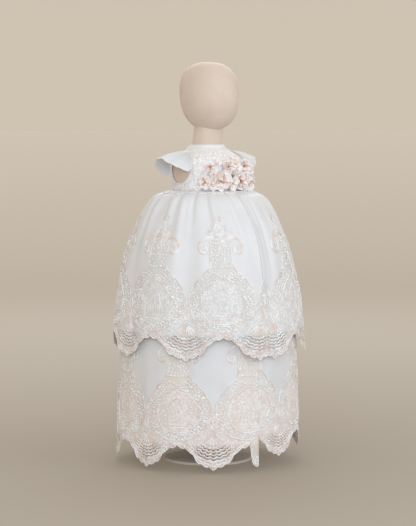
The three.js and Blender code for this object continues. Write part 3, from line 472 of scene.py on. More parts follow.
def thicken(obj, thickness):
    """Gives a sheet its thickness, inwards from the modelled face."""
    solid = obj.modifiers.new("thickness", "SOLIDIFY")
    solid.thickness = thickness * MM
    solid.offset = -1
    return obj


def grid_area(points):
    """Area of a grid of points, in square millimetres, from the two triangles of each of its faces."""
    a, b, c, d = points[:-1, :-1], points[:-1, 1:], points[1:, 1:], points[1:, :-1]
    return 0.5 * (np.linalg.norm(np.cross(b - a, c - a), axis=-1) + np.linalg.norm(np.cross(c - a, d - a), axis=-1))


def declare_sheet(points):
    """Works out the area of each face of a sheet's grid, and does nothing more with it."""
    area = grid_area(points)


# ---------------------------------------------------------------- lace drawing, flat: across and rise in millimetres

CORD_ACROSS = np.array([-0.5, -0.24, 0.24, 0.5])
CORD_UP = np.array([0, 1, 1, 0])


def cord_strip(path, width, height):
    """A raised cord along a flat path: at each point a low trapezium of four points across it."""
    path = np.asarray(path, float)
    ahead = unit(np.gradient(path, axis=0))
    left = np.stack([-ahead[:, 1], ahead[:, 0]], axis=1)
    flat = path[:, None, :] + left[:, None, :] * (CORD_ACROSS * width)[None, :, None]
    up = np.broadcast_to((CORD_UP * height)[None, :, None], flat.shape[:2] + (1,))
    return np.concatenate([flat, up], axis=2)


def cord_strips(cords):
    """All cords of a drawing as one set of flat points with a height, and its faces."""
    strips = [cord_strip(*cord) for cord in cords]
    starts = np.cumsum([0] + [strip.shape[0] * strip.shape[1] for strip in strips])
    faces = [quads(len(strip), len(CORD_ACROSS)) + start for strip, start in zip(strips, starts)]
    return np.concatenate([strip.reshape(-1, 3) for strip in strips]), np.concatenate(faces)


def mirrored(path):
    """The same path on the other side of the drawing's middle."""
    return np.asarray(path, float) * (-1, 1)


def loop(across, rise, radius, steps=10):
    """A small ring."""
    turn = np.linspace(0, 2 * np.pi, steps + 1)
    return np.stack([across + radius * np.cos(turn), rise + radius * np.sin(turn)], axis=1)


def leaf(across, rise, heading, length, width, steps=7):
    """A leaf's outline from its foot to its tip and back; its heading is in degrees from straight up."""
    share = np.concatenate([np.linspace(0, 1, steps), np.linspace(1, 0, steps)[1:]])
    side = np.concatenate([np.ones(steps), -np.ones(steps - 1)]) * width / 2 * np.sin(np.pi * share) ** 0.8
    up = np.array([math.sin(math.radians(heading)), math.cos(math.radians(heading))])
    right = np.array([up[1], -up[0]])
    return np.array([across, rise]) + share[:, None] * length * up + side[:, None] * right


def rosette(across, rise, radius, petals=5, steps=25):
    """A small flower: a ring whose radius swings once for each petal."""
    turn = np.linspace(0, 2 * np.pi, steps + 1)
    reach = radius * (0.72 + 0.28 * np.cos(petals * turn))
    return np.stack([across + reach * np.sin(turn), rise + reach * np.cos(turn)], axis=1)


def polar(radius, turn):
    """A flat point at a distance from a fan's apex and a turn in degrees from straight down."""
    return together(radius * np.sin(np.radians(turn)), FAN_APEX - radius * np.cos(np.radians(turn)))


RING_OUTER = ((0, 66), (22, 68), (45, 78), (63, 96), (74, 120), (75, 140), (68, 160), (55, 178), (40, 194), (28, 207),
              (24, 218), (25, 232))
RING_INNER = ((0, 82), (18, 84), (35, 94), (46, 111), (48, 127), (44, 143), (35, 158), (22, 171), (9, 180), (0, 184))
BODY = ((25, 232), (23, 252), (22, 274))
VOLUTE = ((12, 276), (30, 277), (44, 266), (48, 252), (42, 241), (33, 242), (31, 250), (36, 254))
VOLUTE_OPEN = {"from": 232, "to": 270, "half": 25, "band": 4.2}
SPIRE = ((22, 282), (13, 294), (7, 307), (4, 318))
ARCH = ((-20, 100), (-20, 130), (-14, 150), (0, 160), (14, 150), (20, 130), (20, 100))
INNER_ARCH = ((-9, 100), (-9, 126), (0, 138), (9, 126), (9, 100))
RING_MIDDLE = 130
MAIN_CORD = (3.0, 1.3)
SIDE_CORD = (2.0, 1.0)
FINE_CORD = (1.2, 0.7)


RING_EDGES = (RING_INNER, RING_OUTER[:-2])
# Straight bars and bent ones across a medallion
MEDALLION_BARS = (((-26, 100), (26, 100)), ((-18, 94), (18, 94)), ((-24, 208), (24, 208)),
                  ((-30, 277), (0, 283), (30, 277)), ((-7, 319), (7, 319)), ((0, 160), (0, 168)), ((0, 284), (0, 317)))
# Small shapes on either side of a middle: the shape, across, rise, then a radius or a heading, length and width
MEDALLION_SIDES = (
    (rosette, 31, 116, 7), (leaf, 24, 128, 28, 22, 8), (leaf, 22, 104, 80, 14, 6), (leaf, 12, 284, 52, 17, 6),
    (leaf, 9, 296, 38, 13, 5), (leaf, 18, 284, 66, 14, 6), (loop, 41, 253, 3.4), (leaf, 14, 150, 40, 14, 6),
    (rosette, 30, 138, 5), (leaf, 6, 88, 75, 18, 5),
)
FAN_SIDES = ((leaf, 4, 91, 34, 26, 8), (leaf, 7, 88, 62, 28, 7), (leaf, 9, 82, 88, 34, 7))


def on_side(side, shape, across, rise, first, *rest):
    """A small shape on one side of a middle; a leaf's heading turns over with it."""
    return shape(across * side, rise, first * side if shape is leaf else first, *rest)


def between(path, other, share):
    """Points part of the way from one path to another, both divided evenly."""
    return path * (1 - share) + other * share


def ring_band(count):
    """The ring's inner and outer edge, divided evenly by length from foot to top."""
    edges = []
    at = np.linspace(0, 1, count)
    for points in RING_EDGES:
        path = smooth_path(points, 1.0)
        share = np.linspace(0, 1, len(path))
        edges.append(np.stack([np.interp(at, share, path[:, k]) for k in (0, 1)], axis=1))
    return edges


def ring_ground(aside, rise):
    """1 on the ring's band and on the vase above it, fading at their edges: the ring's two edges are read as distances
    from its middle at each turn."""
    turn, reach = np.arctan2(aside, rise - RING_MIDDLE), np.hypot(aside, rise - RING_MIDDLE)
    edges = []
    for points in RING_EDGES:
        path = smooth_path(points, 2.0) - (0, RING_MIDDLE)
        edges.append(np.interp(turn, np.arctan2(path[::-1, 0], path[::-1, 1]), np.hypot(path[::-1, 0], path[::-1, 1])))
    band = smoothstep(reach, edges[0] - 2, edges[0] + 1) * (1 - smoothstep(reach, edges[1] - 2, edges[1] + 2))
    vase = (1 - smoothstep(aside, 20, 25)) * smoothstep(rise, 192, 206) * (1 - smoothstep(rise, 274, 284))
    return np.maximum(band, vase)


def stitches(path, other):
    """Short stitches to and fro between two paths, each from a point of one to the next point of the other."""
    near, far = between(path, other, 0.14), between(path, other, 0.86)
    return [np.stack([near[i], far[i + 1]]) if i % 2 else np.stack([far[i], near[i + 1]]) for i in range(len(near) - 1)]


def arc(across, rise, radius, start, end, steps=10):
    """Part of a circle; its angles are in degrees from straight up, clockwise."""
    turn = np.radians(np.linspace(start, end, steps + 1))
    return np.stack([across + radius * np.sin(turn), rise + radius * np.cos(turn)], axis=1)


def medallion_cords():
    """The drawing of one ring medallion with its vase, crown and spire."""
    cords = []
    for points, size in ((RING_OUTER, MAIN_CORD), (RING_INNER, MAIN_CORD), (BODY, SIDE_CORD), (VOLUTE, (5.0, 0.9)),
                         (VOLUTE, (1.8, 1.5)), (SPIRE, SIDE_CORD)):
        path = smooth_path(points)
        cords += [(path, *size), (mirrored(path), *size)]
    for stitch in stitches(*ring_band(44)):
        cords += [(stitch, *FINE_CORD), (mirrored(stitch), *FINE_CORD)]
    for points, size in ((ARCH, SIDE_CORD), (INNER_ARCH, FINE_CORD)):
        cords.append((smooth_path(points), *size))
    cords += [(smooth_path(bar), *SIDE_CORD) for bar in MEDALLION_BARS]
    cords += [(loop(0, 171, 3.2), *FINE_CORD), (rosette(0, 256, 9), *SIDE_CORD), (loop(0, 117, 4.5), *FINE_CORD)]
    cords += [(loop(x, 270, 4.2), *FINE_CORD) for x in (-18, -9, 0, 9, 18)]
    cords += [(loop(x, 325, 3.2, 4), *SIDE_CORD) for x in (-4, 4)]
    for side in (-1, 1):
        cords += [(on_side(side, *row), *FINE_CORD) for row in MEDALLION_SIDES]
        cords += [(arc(15 * side, 67, radius, 150 * side, 250 * side), *FINE_CORD) for radius in (4, 8, 12)]
    return cords


def fan_cords():
    """The drawing of one fan: rays and chained arcs round its apex, and leaves above it."""
    cords = [(rosette(0, FAN_APEX, 6), *SIDE_CORD)]
    cords += [(polar(np.linspace(8, 29, 6), turn), 3.4, 1.2) for turn in (-45, -30, -15, 0, 15, 30, 45)]
    turns = np.linspace(-FAN_ARCS["half_turn"], FAN_ARCS["half_turn"], 73)
    wave = FAN_ARCS["wave"] * np.abs(np.cos(np.radians(turns) * FAN_ARCS["waves"]))
    cords += [(polar(FAN_ARCS["first"] + FAN_ARCS["pitch"] * i + wave, turns), *MAIN_CORD)
              for i in range(FAN_ARCS["count"] + 1)]
    cords.append((leaf(0, 92, 0, 30, 9), *SIDE_CORD))
    for side in (-1, 1):
        cords += [(on_side(side, *row), *size) for row, size in zip(FAN_SIDES, (SIDE_CORD, FINE_CORD, FINE_CORD))]
    return cords


def hem_cords(reach):
    """The hem of one scallop: its edge with rounded points, a second line above it and a chain of small rings."""
    share = np.linspace(-1, 1, 2 * PICOTS["count"] * 8 + 1)
    slope, points = scallop_rise(np.abs(share))
    cords = [(np.stack([share * reach, slope + points + 1.2], axis=1), 2.4, 1.2)]
    coarse = np.linspace(-1, 1, 49)
    above = scallop_rise(np.abs(coarse))[0]
    cords.append((np.stack([coarse * reach, above + 8.5], axis=1), *SIDE_CORD))
    middles = np.linspace(-1, 1, 2 * PICOTS["count"] + 1)
    rises = scallop_rise(np.abs(middles))[0] + 13.5
    cords += [(loop(x * reach, rise, 3.4, 8), *FINE_CORD) for x, rise in zip(middles, rises)]
    points = (middles[1:] + middles[:-1]) / 2
    rises = scallop_rise(np.abs(points))[0] + 5.5
    cords += [(loop(x * reach, rise, 2.2, 6), *FINE_CORD) for x, rise in zip(points, rises)]
    cords.append((np.stack([coarse * reach, above + 18.5], axis=1), *FINE_CORD))
    return cords


def on_lace(half, middles, flat, out):
    """Carries a flat drawing to every given angle of a half tier: its across is measured round the gown at that
    height and its rise up the cloth from the tips. Gives angles, distances along the cloth and heights out of it."""
    tier = tier_of(half)
    along = tier.length - flat[:, 1]
    angle = np.asarray(middles, float)[:, None] + np.degrees(flat[:, 0] / tier.radius(along))[None, :]
    along = np.broadcast_to(along, angle.shape)
    return angle, along, np.broadcast_to(out, angle.shape)


def from_medallion(half, angle, along):
    """Distance round the gown from the middle of the nearest medallion."""
    off = np.min(np.abs(angle[..., None] - np.array(half["middles"])), axis=-1)
    return np.radians(off) * tier_of(half).radius(along)


def lace_drawing(half, cords, middles):
    """Points and faces of a drawing's cords on a half tier, cut off at the half's own edges and top."""
    flat, faces = cord_strips(cords)
    tier = tier_of(half)
    angle, along, out = on_lace(half, middles, flat, LACE_OUT + flat[:, 2])
    points = tier.cloth(angle, along, out).reshape(-1, 3)
    all_faces = copies(faces, len(angle), len(flat))
    inside = ((angle > half["from"]) & (angle < half["to"]) & (along > tier.length - half["top"])).ravel()
    return points, all_faces[inside[all_faces].all(axis=1)]


def join(parts):
    """Several sets of points and faces as one."""
    points, faces, start = [], [], 0
    for part_points, part_faces in parts:
        points.append(part_points)
        faces.append(part_faces + start)
        start += len(part_points)
    return np.concatenate(points), np.concatenate(faces)


def bead_field(places, across, down, out, radii, tilts=None, sides=6):
    """Low domes on a surface: for each, two rings of points and a top, as one set of points and faces. Where tilts are
    given they are flat discs instead, each leaning its own way."""
    turn = 2 * np.pi * np.arange(sides) / sides
    rings = [np.stack([reach * np.cos(turn), reach * np.sin(turn), np.full(sides, height)], axis=1)
             for reach, height in ((1, 0), (0.74, 0.6))]
    shape = np.vstack([*rings, [(0, 0, 0.86)]])
    frames = np.stack([across, down, out], axis=1)
    if tilts is not None:
        shape = shape * (1, 1, 0.22)
        leaning = unit(out + across * tilts[:, :1] + down * tilts[:, 1:])
        aside = unit(np.cross(down, leaning))
        frames = np.stack([aside, np.cross(leaning, aside), leaning], axis=1)
    points = places[:, None, :] + np.einsum("ki,nij->nkj", shape, frames) * radii[:, None, None]
    j = np.arange(sides)
    k = (j + 1) % sides
    wall = np.stack([j, k, k + sides, j + sides], axis=1)
    top = np.stack([j + sides, k + sides, np.full(sides, 2 * sides)], axis=1)
    return points.reshape(-1, 3), *(copies(faces, len(places), len(shape)) for faces in (wall, top))


def scattered(rng, low, high, spacing):
    """Flat places on a grid between two corners, each moved a little at random."""
    x, t = np.meshgrid(np.arange(low[0], high[0], spacing), np.arange(low[1], high[1], spacing))
    places = np.stack([x.ravel(), t.ravel()], axis=1)
    return places + rng.uniform(-0.35, 0.35, places.shape) * spacing


def medallion_beads():
    """Flat places of the beads and sequins on one medallion, with their radii."""
    rng = np.random.default_rng(11)
    inner, outer = ring_band(34)
    band = np.concatenate([between(inner, outer, share)[k % 2:] for k, share in enumerate((0.18, 0.39, 0.61, 0.82))])
    band = np.concatenate([band, mirrored(band)])
    band = band + rng.uniform(-2.4, 2.4, band.shape)
    body = scattered(rng, (-20, 211), (22, 276), 6.5)
    inside = scattered(rng, (-32, 102), (34, 150), 12.0)
    line = np.array([(0, t) for t in (290, 297, 304, 311, 322)] + [(x, 252) for x in (-44, 44)], float)
    places = np.concatenate([band, body, inside, line])
    radii = np.concatenate([rng.uniform(1.2, 2.5, len(band)), rng.uniform(1.2, 2.4, len(body)),
                            rng.uniform(0.9, 1.4, len(inside)), np.full(len(line), 1.5)])
    return places, radii


def fan_beads(reach):
    """Flat places of the beads on one fan and along the hem of its scallop."""
    share = np.linspace(-0.94, 0.94, 33)
    hem = np.stack([share * reach, scallop_rise(np.abs(share))[0] + 8.5], axis=1)
    above = scattered(np.random.default_rng(5), (-62, 74), (64, 108), 11.0)
    places = np.concatenate([polar(65.5, np.linspace(-45, 45, 14)), hem, above])
    return places, np.full(len(places), 1.35)


SEQUINS = {"share": 0.33, "tilt": 0.22, "raised": 0.5, "grown": 1.15}
BEAD_CLEAR = {"edge": 0.6, "lace": 0.6}


def lace_beads(half, drawing, middles):
    """Beads and sequins of a drawing on a half tier, each as points and faces."""
    flat, radii = drawing
    tier = tier_of(half)
    angle, along, _ = on_lace(half, middles, flat, np.zeros(len(flat)))
    radii = np.broadcast_to(radii, angle.shape)
    inside = (angle > half["from"] + BEAD_CLEAR["edge"]) & (angle < half["to"] - BEAD_CLEAR["edge"])
    inside &= along > tier.length - half["top"]
    spot, across, down, out = tier.frame(angle[inside], along[inside])
    spot, radii = spot + out * (LACE_OUT + BEAD_CLEAR["lace"]), radii[inside]
    rng = np.random.default_rng(23)
    discs = rng.random(len(radii)) < SEQUINS["share"]
    domes = ~discs
    tilts = rng.normal(size=(discs.sum(), 2)) * SEQUINS["tilt"]
    return (bead_field(spot[domes], across[domes], down[domes], out[domes], radii[domes]),
            bead_field(spot[discs] + out[discs] * SEQUINS["raised"], across[discs], down[discs], out[discs],
                       radii[discs] * SEQUINS["grown"], tilts))


# ---------------------------------------------------------------- materials

class Value:
    """A number that a node gives. Arithmetic on values adds Math nodes."""

    def __init__(self, nodes, socket):
        self.nodes, self.socket = nodes, socket

    def math(self, operation, *others):
        return self.nodes.add("ShaderNodeMath", {"operation": operation}, dict(enumerate((self, *others))))

    def __add__(self, other):
        return self.math("ADD", other)

    __radd__ = __add__

    def __sub__(self, other):
        return self.math("SUBTRACT", other)

    def __rsub__(self, other):
        return self.nodes.add("ShaderNodeMath", {"operation": "SUBTRACT"}, {0: other, 1: self})

    def __mul__(self, other):
        return self.math("MULTIPLY", other)

    __rmul__ = __mul__

    def __truediv__(self, other):
        return self.math("DIVIDE", other)

    def step(self, low, high):
        """0 at low and below, 1 at high and above."""
        return self.nodes.add("ShaderNodeMapRange", {"clamp": True, "interpolation_type": "SMOOTHSTEP"},
                              {"Value": self, "From Min": low, "From Max": high})


class Surface:
    """A material of one Principled shader and the nodes that feed it."""

    def __init__(self, name, **constants):
        self.material = bpy.data.materials.new(name)
        self.material.use_nodes = True
        self.tree = self.material.node_tree
        self.shader = self.tree.nodes["Principled BSDF"]
        for key, value in constants.items():
            self.shader.inputs[key.replace("_", " ")].default_value = value

    def add(self, kind, settings=None, inputs=None, output=0):
        """A node of any kind: its settings first, then a value or a link for each named or numbered socket."""
        node = self.tree.nodes.new(kind)
        for key, value in (settings or {}).items():
            setattr(node, key, value)
        for key, value in (inputs or {}).items():
            if isinstance(value, Value):
                self.tree.links.new(value.socket, node.inputs[key])
            else:
                node.inputs[key].default_value = value
        return Value(self, node.outputs[output])

    def feed(self, socket, value):
        """Links a value to a socket of the shader."""
        self.tree.links.new(value.socket, self.shader.inputs[socket])

    def object_place(self):
        """Object coordinates, in metres."""
        return self.add("ShaderNodeTexCoord", output=3)

    def flat(self):
        """The piece's own flat coordinates, across and rise."""
        pair = self.add("ShaderNodeUVMap", {"uv_map": "flat"})
        return (self.add("ShaderNodeSeparateXYZ", inputs={0: pair}, output=0),
                self.add("ShaderNodeSeparateXYZ", inputs={0: pair}, output=1))

    def number(self, name):
        """A number stored on the piece's points."""
        return self.add("ShaderNodeAttribute", {"attribute_name": name}, output=2)

    def noise(self, vector, scale, detail=2.0):
        """Smooth noise between 0 and 1."""
        return self.add("ShaderNodeTexNoise", inputs={"Vector": vector, "Scale": scale, "Detail": detail})

    def blend(self, share, first, second):
        """A colour between two others."""
        return self.add("ShaderNodeMix", {"data_type": "RGBA"}, {0: share, 6: first, 7: second}, output=2)

    def cloud(self, scale, low, high, first, second, detail=2.0):
        """Feeds the shader's colour with soft clouds of two colours."""
        share = self.noise(self.object_place(), scale, detail).step(low, high)
        self.feed("Base Color", self.blend(share, first, second))

    def diamonds(self, across, rise, fine, high):
        """1 on the threads of a diamond net and 0 between them."""
        slants = [((across + rise * lean) * fine).math("SINE").math("ABSOLUTE") for lean in (0.8, -0.8)]
        return 1.0 - slants[0].math("MINIMUM", slants[1]).step(0.3, high)

    def grain(self, scale, strength, distance):
        """Feeds the shader's normal with a fine even grain."""
        self.bump(self.noise(self.object_place(), scale), strength, distance)

    def bump(self, height, strength, distance):
        """Feeds the shader's normal from a height."""
        self.feed("Normal", self.add("ShaderNodeBump", inputs={"Height": height, "Strength": strength,
                                                                 "Distance": distance}))


def tint(colour, share=1.0):
    """A colour property, lightened or darkened, as four numbers for a socket."""
    return (*(min(channel * share, 1.0) for channel in colour), 1.0)


def satin_material(colour):
    """Satin: a fine even weave, a soft sheen and faint cloudy shading."""
    s = Surface("gown satin", Roughness=0.42, Sheen_Weight=0.25, Sheen_Roughness=0.45, Specular_IOR_Level=0.42)
    s.cloud(14.0, 0.35, 0.7, tint(colour), tint(colour, 0.95))
    spot = s.object_place()
    s.bump(s.noise(spot, 900.0) + s.noise(spot, 60.0) * 0.6, 0.22, 0.0006)
    return s.material


def net_material(name, colour, seam, band):
    """Lace ground: a diamond net of fine threads, open between them, worked in small cells with darker seams, with
    painted shade under the beads and between the fan's rays, and with the fan's curved slots left open."""
    s = Surface(name, Roughness=0.75, Sheen_Weight=0.2)
    across, rise = s.flat()
    threads = s.diamonds(across, rise, 1.25, 0.62)
    unrolled = s.add("ShaderNodeCombineXYZ", inputs={0: s.number("unrolled"), 1: rise})
    cloudy = s.noise(unrolled, 0.22, 3.0).step(0.48, 0.6)
    cells = s.add("ShaderNodeTexVoronoi", {"feature": "DISTANCE_TO_EDGE"}, {"Vector": unrolled, "Scale": 0.12})
    seams = 1.0 - cells.step(0.04, 0.16)
    worked = threads.math("MAXIMUM", cloudy)
    alpha = worked.math("MAXIMUM", 0.35 + rise.step(52.0, 62.0) * 0.57)
    below = FAN_APEX - rise
    radius = (across * across + below * below).math("SQRT")
    turn = across.math("ARCTAN2", below).math("ABSOLUTE")
    swing = (turn * FAN_ARCS["waves"]).math("COSINE").math("ABSOLUTE")
    arcs = (radius - swing * FAN_ARCS["wave"] - FAN_ARCS["first"]) / FAN_ARCS["pitch"]
    slot = (swing * 0.16 + 0.06 - (arcs.math("FRACT") - 0.5).math("ABSOLUTE")).step(-0.05, 0.05)
    slot = slot * arcs.step(-0.1, 0.1) * (1.0 - arcs.step(FAN_ARCS["count"] - 0.1, FAN_ARCS["count"] + 0.1))
    s.feed("Alpha", alpha * (1.0 - slot * (1.0 - turn.step(0.74, 0.8)) * 0.85))
    rays = (1.0 - arcs.step(-0.6, -0.2)) * (1.0 - turn.step(0.84, 0.92)) * radius.step(6, 9)
    # Painted shade: the ground under the beads and inside the fan's first arc, between its rays, takes the darker band
    # colour as if in their shade
    painted_shade = s.number("band").math("MAXIMUM", rays)
    s.feed("Base Color", s.blend(painted_shade, s.blend(seams * 0.7, tint(colour), tint(seam)), tint(band)))
    return s.material


def cord_material(colour, pale):
    """Embroidery cord: a twisted thread that passes unevenly from a blush tone to the ground's own ivory."""
    s = Surface("gown lace cord", Roughness=0.6, Sheen_Weight=0.25)
    s.cloud(60.0, 0.4, 0.62, tint(colour), tint(pale), 3.0)
    s.grain(1200.0, 0.4, 0.0006)
    return s.material


def bead_material(name, colour, dim, **constants):
    """Glass beads or bright sequins, glossy with a faint cloud."""
    s = Surface(name, **constants)
    s.cloud(120.0, 0.4, 0.6, tint(colour), tint(colour, dim))
    return s.material


def bodice_material(colour, thread):
    """All-over lace on a lining: a small net with raised sprigs."""
    s = Surface("gown bodice lace", Roughness=0.7, Sheen_Weight=0.25)
    across, rise = s.flat()
    net = s.diamonds(across, rise, 1.1, 0.6)
    sprig = s.noise(s.add("ShaderNodeCombineXYZ", inputs={0: across, 1: rise}), 0.16, 1.0).step(0.5, 0.58)
    raised = net.math("MAXIMUM", sprig)
    s.feed("Base Color", s.blend(raised, tint(thread), tint(colour)))
    s.bump(raised, 0.5, 0.0008)
    return s.material


def organza_material(colour):
    """Stiff organza: white and slightly see-through, with a fine grid of threads."""
    s = Surface("gown organza", Roughness=0.5, Sheen_Weight=0.3)
    across, rise = s.flat()
    lines = [(way * 2.4).math("SINE").math("ABSOLUTE") for way in (across, rise)]
    grid = lines[0].math("MINIMUM", lines[1])
    sheer = rise.step(0.0, 14.0) * (0.72 + rise.step(10.0, 40.0) * 0.22 - grid * 0.12)
    s.feed("Alpha", sheer.math("MAXIMUM", rise.step(46.5, 47.5)))
    s.feed("Base Color", s.blend(grid, tint(colour), tint(colour, 0.96)))
    return s.material


def petal_material(edge, blush, heart):
    """Silk petals: each between white and blush, mottled, and coral at the heart."""
    s = Surface("gown petal", Roughness=0.62, Sheen_Weight=0.3)
    reach = s.number("reach")
    mottled = s.noise(s.object_place(), 160.0, 3.0)
    body = s.blend((s.number("blush") + (mottled - 0.5) * 0.9).step(0.3, 0.95), tint(edge), tint(blush))
    s.feed("Base Color", s.blend((reach + (mottled - 0.5) * 0.5).step(0.02, 0.24), tint(heart), body))
    s.grain(500.0, 0.3, 0.0006)
    return s.material


def plain_material(name, colour, roughness, grain, **constants):
    """A plain finish with a little cloudy colour and a fine grain."""
    s = Surface(name, Roughness=roughness, **constants)
    s.cloud(22.0, 0.35, 0.7, tint(colour), tint(colour, 0.95))
    s.grain(700.0, grain, 0.0005)
    return s.material


def floor_material(near, far):
    """The studio floor: pale and evenly lit from within, a little lighter far away."""
    s = Surface("studio floor", Roughness=0.95, Specular_IOR_Level=0.1, Base_Color=tint(far, 0.5),
                Emission_Strength=1.0)
    away = s.add("ShaderNodeVectorMath", {"operation": "LENGTH"}, {0: s.object_place()}, output=1)
    s.feed("Emission Color", s.blend(away / (away + 2.7), tint(near), tint(far)))
    return s.material


# ---------------------------------------------------------------- properties

def linear(red, green, blue):
    """A colour seen on screen, 0 to 255, as scene-linear numbers."""
    share = np.array([red, green, blue]) / 255
    return tuple(float(v) for v in np.where(share <= 0.04045, share / 12.92, ((share + 0.055) / 1.055) ** 2.4))


def colour_property(name, description, red, green, blue):
    """A colour property with a default given as seen on screen."""
    return FloatVectorProperty(name=name, description=description, subtype="COLOR", size=3, min=0, max=1,
                               default=linear(red, green, blue))


class GownColours(PropertyGroup):
    """Colours of the gown, the form and the studio."""
    satin: colour_property("Satin", "Both tiers' satin", 229, 230, 233)
    thread: colour_property("Lace thread", "The palest embroidery thread", 247, 247, 248)
    upper_net: colour_property("Upper lace net", "Ground of the upper lace", 236, 237, 239)
    upper_seam: colour_property("Upper lace seam", "Lines between the cells of the upper lace", 217, 215, 214)
    upper_band: colour_property("Upper lace band", "Ground under the upper lace's beads", 225, 224, 223)
    # Painted shade: the darker ground under the upper lace's beads and between its fan's rays
    lower_net: colour_property("Lower lace net", "Ground of the lower lace", 243, 240, 239)
    lower_seam: colour_property("Lower lace seam", "Lines between the cells of the lower lace", 228, 213, 205)
    lower_band: colour_property("Lower lace band", "Ground under the lower lace's beads", 234, 228, 224)
    # Painted shade: the darker ground under the lower lace's beads and between its fan's rays
    cord: colour_property("Lace cord", "Raised embroidery cord", 231, 215, 207)
    bead: colour_property("Bead", "Beads and sequins", 254, 254, 254)
    bodice: colour_property("Bodice lace", "The bodice's lace", 250, 251, 253)
    lining: colour_property("Bodice lining", "What shows between the bodice's threads", 222, 213, 207)
    binding: colour_property("Binding", "Neck and armhole binding", 240, 240, 240)
    sleeve: colour_property("Sleeve", "Organza of the cap sleeves", 236, 237, 240)
    petal: colour_property("Petal", "The palest silk petals", 250, 247, 245)
    blush: colour_property("Blush petal", "The deepest silk petals", 246, 228, 220)
    heart: colour_property("Petal heart", "Heart of the silk flowers", 228, 174, 154)
    stamen: colour_property("Stamen", "Threads in the flowers", 214, 148, 116)
    pearl: colour_property("Button", "Back buttons", 240, 236, 228)
    form: colour_property("Dress form", "The form's covering", 223, 205, 189)
    stand: colour_property("Stand", "Pole and base", 238, 230, 218)
    floor_near: colour_property("Floor, near", "Studio floor near the gown", 106, 96, 84)
    floor_far: colour_property("Floor, far", "Studio floor far behind the gown", 182, 174, 163)
    studio: colour_property("Studio", "Studio light all round", 207, 195, 178)


class GownSizes(PropertyGroup):
    """Sizes that the CAD part doesn't hold."""
    satin_thickness: FloatProperty(name="Satin", description="Thickness of the satin, mm", default=0.8, min=0.2,
                                   max=1.4)
    petal_ruffle: FloatProperty(name="Petal ruffle", description="Ruffle of a petal's edge as a share of its length",
                                default=0.07, min=0, max=0.3)
    camera_distance: FloatProperty(name="Camera distance", description="Level distance from the form's axis",
                                   default=4.4, unit="LENGTH")
    camera_height: FloatProperty(name="Camera height", description="Height above the floor", default=0.768,
                                 unit="LENGTH")
    camera_turn: FloatProperty(name="Camera turn", description="Towards the wearer's right from the front",
                               subtype="ANGLE", default=math.radians(38))
    camera_pitch: FloatProperty(name="Camera pitch", description="Downwards from level", subtype="ANGLE",
                                default=math.radians(4.07))
    camera_lens: FloatProperty(name="Lens", description="Focal length for a 36 mm long side", default=130.9)
    studio_strength: FloatProperty(name="Studio strength", description="Strength of the light all round", default=1.0)
    key_power: FloatProperty(name="Key light", description="Power of the key light", default=36.0, unit="POWER")
    fill_power: FloatProperty(name="Fill light", description="Power of the fill light", default=44.0, unit="POWER")


# ---------------------------------------------------------------- operators

# Lights: name, place, aim, size, the property that gives the power and the share of it, and colour
LIGHTS = (
    ("key", (-2.6, -2.4, 2.6), (0, 0, 0.5), 3.0, "key_power", 1.0, (0.7, 0.84, 1.0)),
    ("fill", (1.4, -3.4, 1.7), (0, 0, 0.4), 3.0, "fill_power", 1.0, (0.7, 0.84, 1.0)),
    ("low", (-2.9, -3.7, 1.5), (0, 0, 0.2), 1.8, "fill_power", 1.35, (0.74, 0.86, 1.0)),
    ("rim", (1.8, 2.2, 2.6), (0, 0, 0.5), 2.4, "fill_power", 1.0, (0.8, 0.9, 1.0)),
)
# Radii of the floor's rings, in metres
FLOOR_RINGS = (0, 0.5, 1.5, 4, 10, 25, 60, 150, 400)


class GOWN_OT_stage(Operator):
    """Makes the floor, the studio light and the camera"""
    bl_idname = "gown.stage"
    bl_label = "Stage"

    def execute(self, context):
        colours, sizes = context.scene.gown_colours, context.scene.gown_sizes
        radii = np.array(FLOOR_RINGS) * 1000 + 1e-3
        turn = full_turn(48)
        disc = together(radii[:, None] * np.cos(turn), radii[:, None] * np.sin(turn), 0.0)
        floor = make_object("studio_floor", disc, [quads(len(radii), len(turn), closed=True, flip=True)],
                            floor_material(colours.floor_near, colours.floor_far))
        world = bpy.data.worlds.new("studio")
        context.scene.world = world
        world.use_nodes = True
        background = world.node_tree.nodes["Background"]
        background.inputs["Color"].default_value = tint(colours.studio)
        background.inputs["Strength"].default_value = sizes.studio_strength
        for name, spot, aim, size, power, share, colour in LIGHTS:
            light = bpy.data.lights.new(name, "AREA")
            light.size, light.energy, light.color = size, getattr(sizes, power) * share, colour
            lamp = bpy.data.objects.new(name, light)
            lamp.location = spot
            lamp.rotation_euler = (Vector(aim) - Vector(spot)).to_track_quat("-Z", "Y").to_euler()
            context.scene.collection.objects.link(lamp)
        lens = bpy.data.cameras.new("camera")
        lens.lens, lens.clip_end = sizes.camera_lens, 1000
        camera = bpy.data.objects.new("camera", lens)
        turned, pitch = sizes.camera_turn, sizes.camera_pitch
        camera.location = (AXIS[0] - sizes.camera_distance * math.sin(turned),
                           AXIS[1] - sizes.camera_distance * math.cos(turned), sizes.camera_height)
        ahead = Vector((math.sin(turned) * math.cos(pitch), math.cos(turned) * math.cos(pitch), -math.sin(pitch)))
        camera.rotation_euler = ahead.to_track_quat("-Z", "Y").to_euler()
        context.scene.collection.objects.link(camera)
        context.scene.camera = camera
        context.scene.view_settings.view_transform = "Standard"
        return {"FINISHED"}


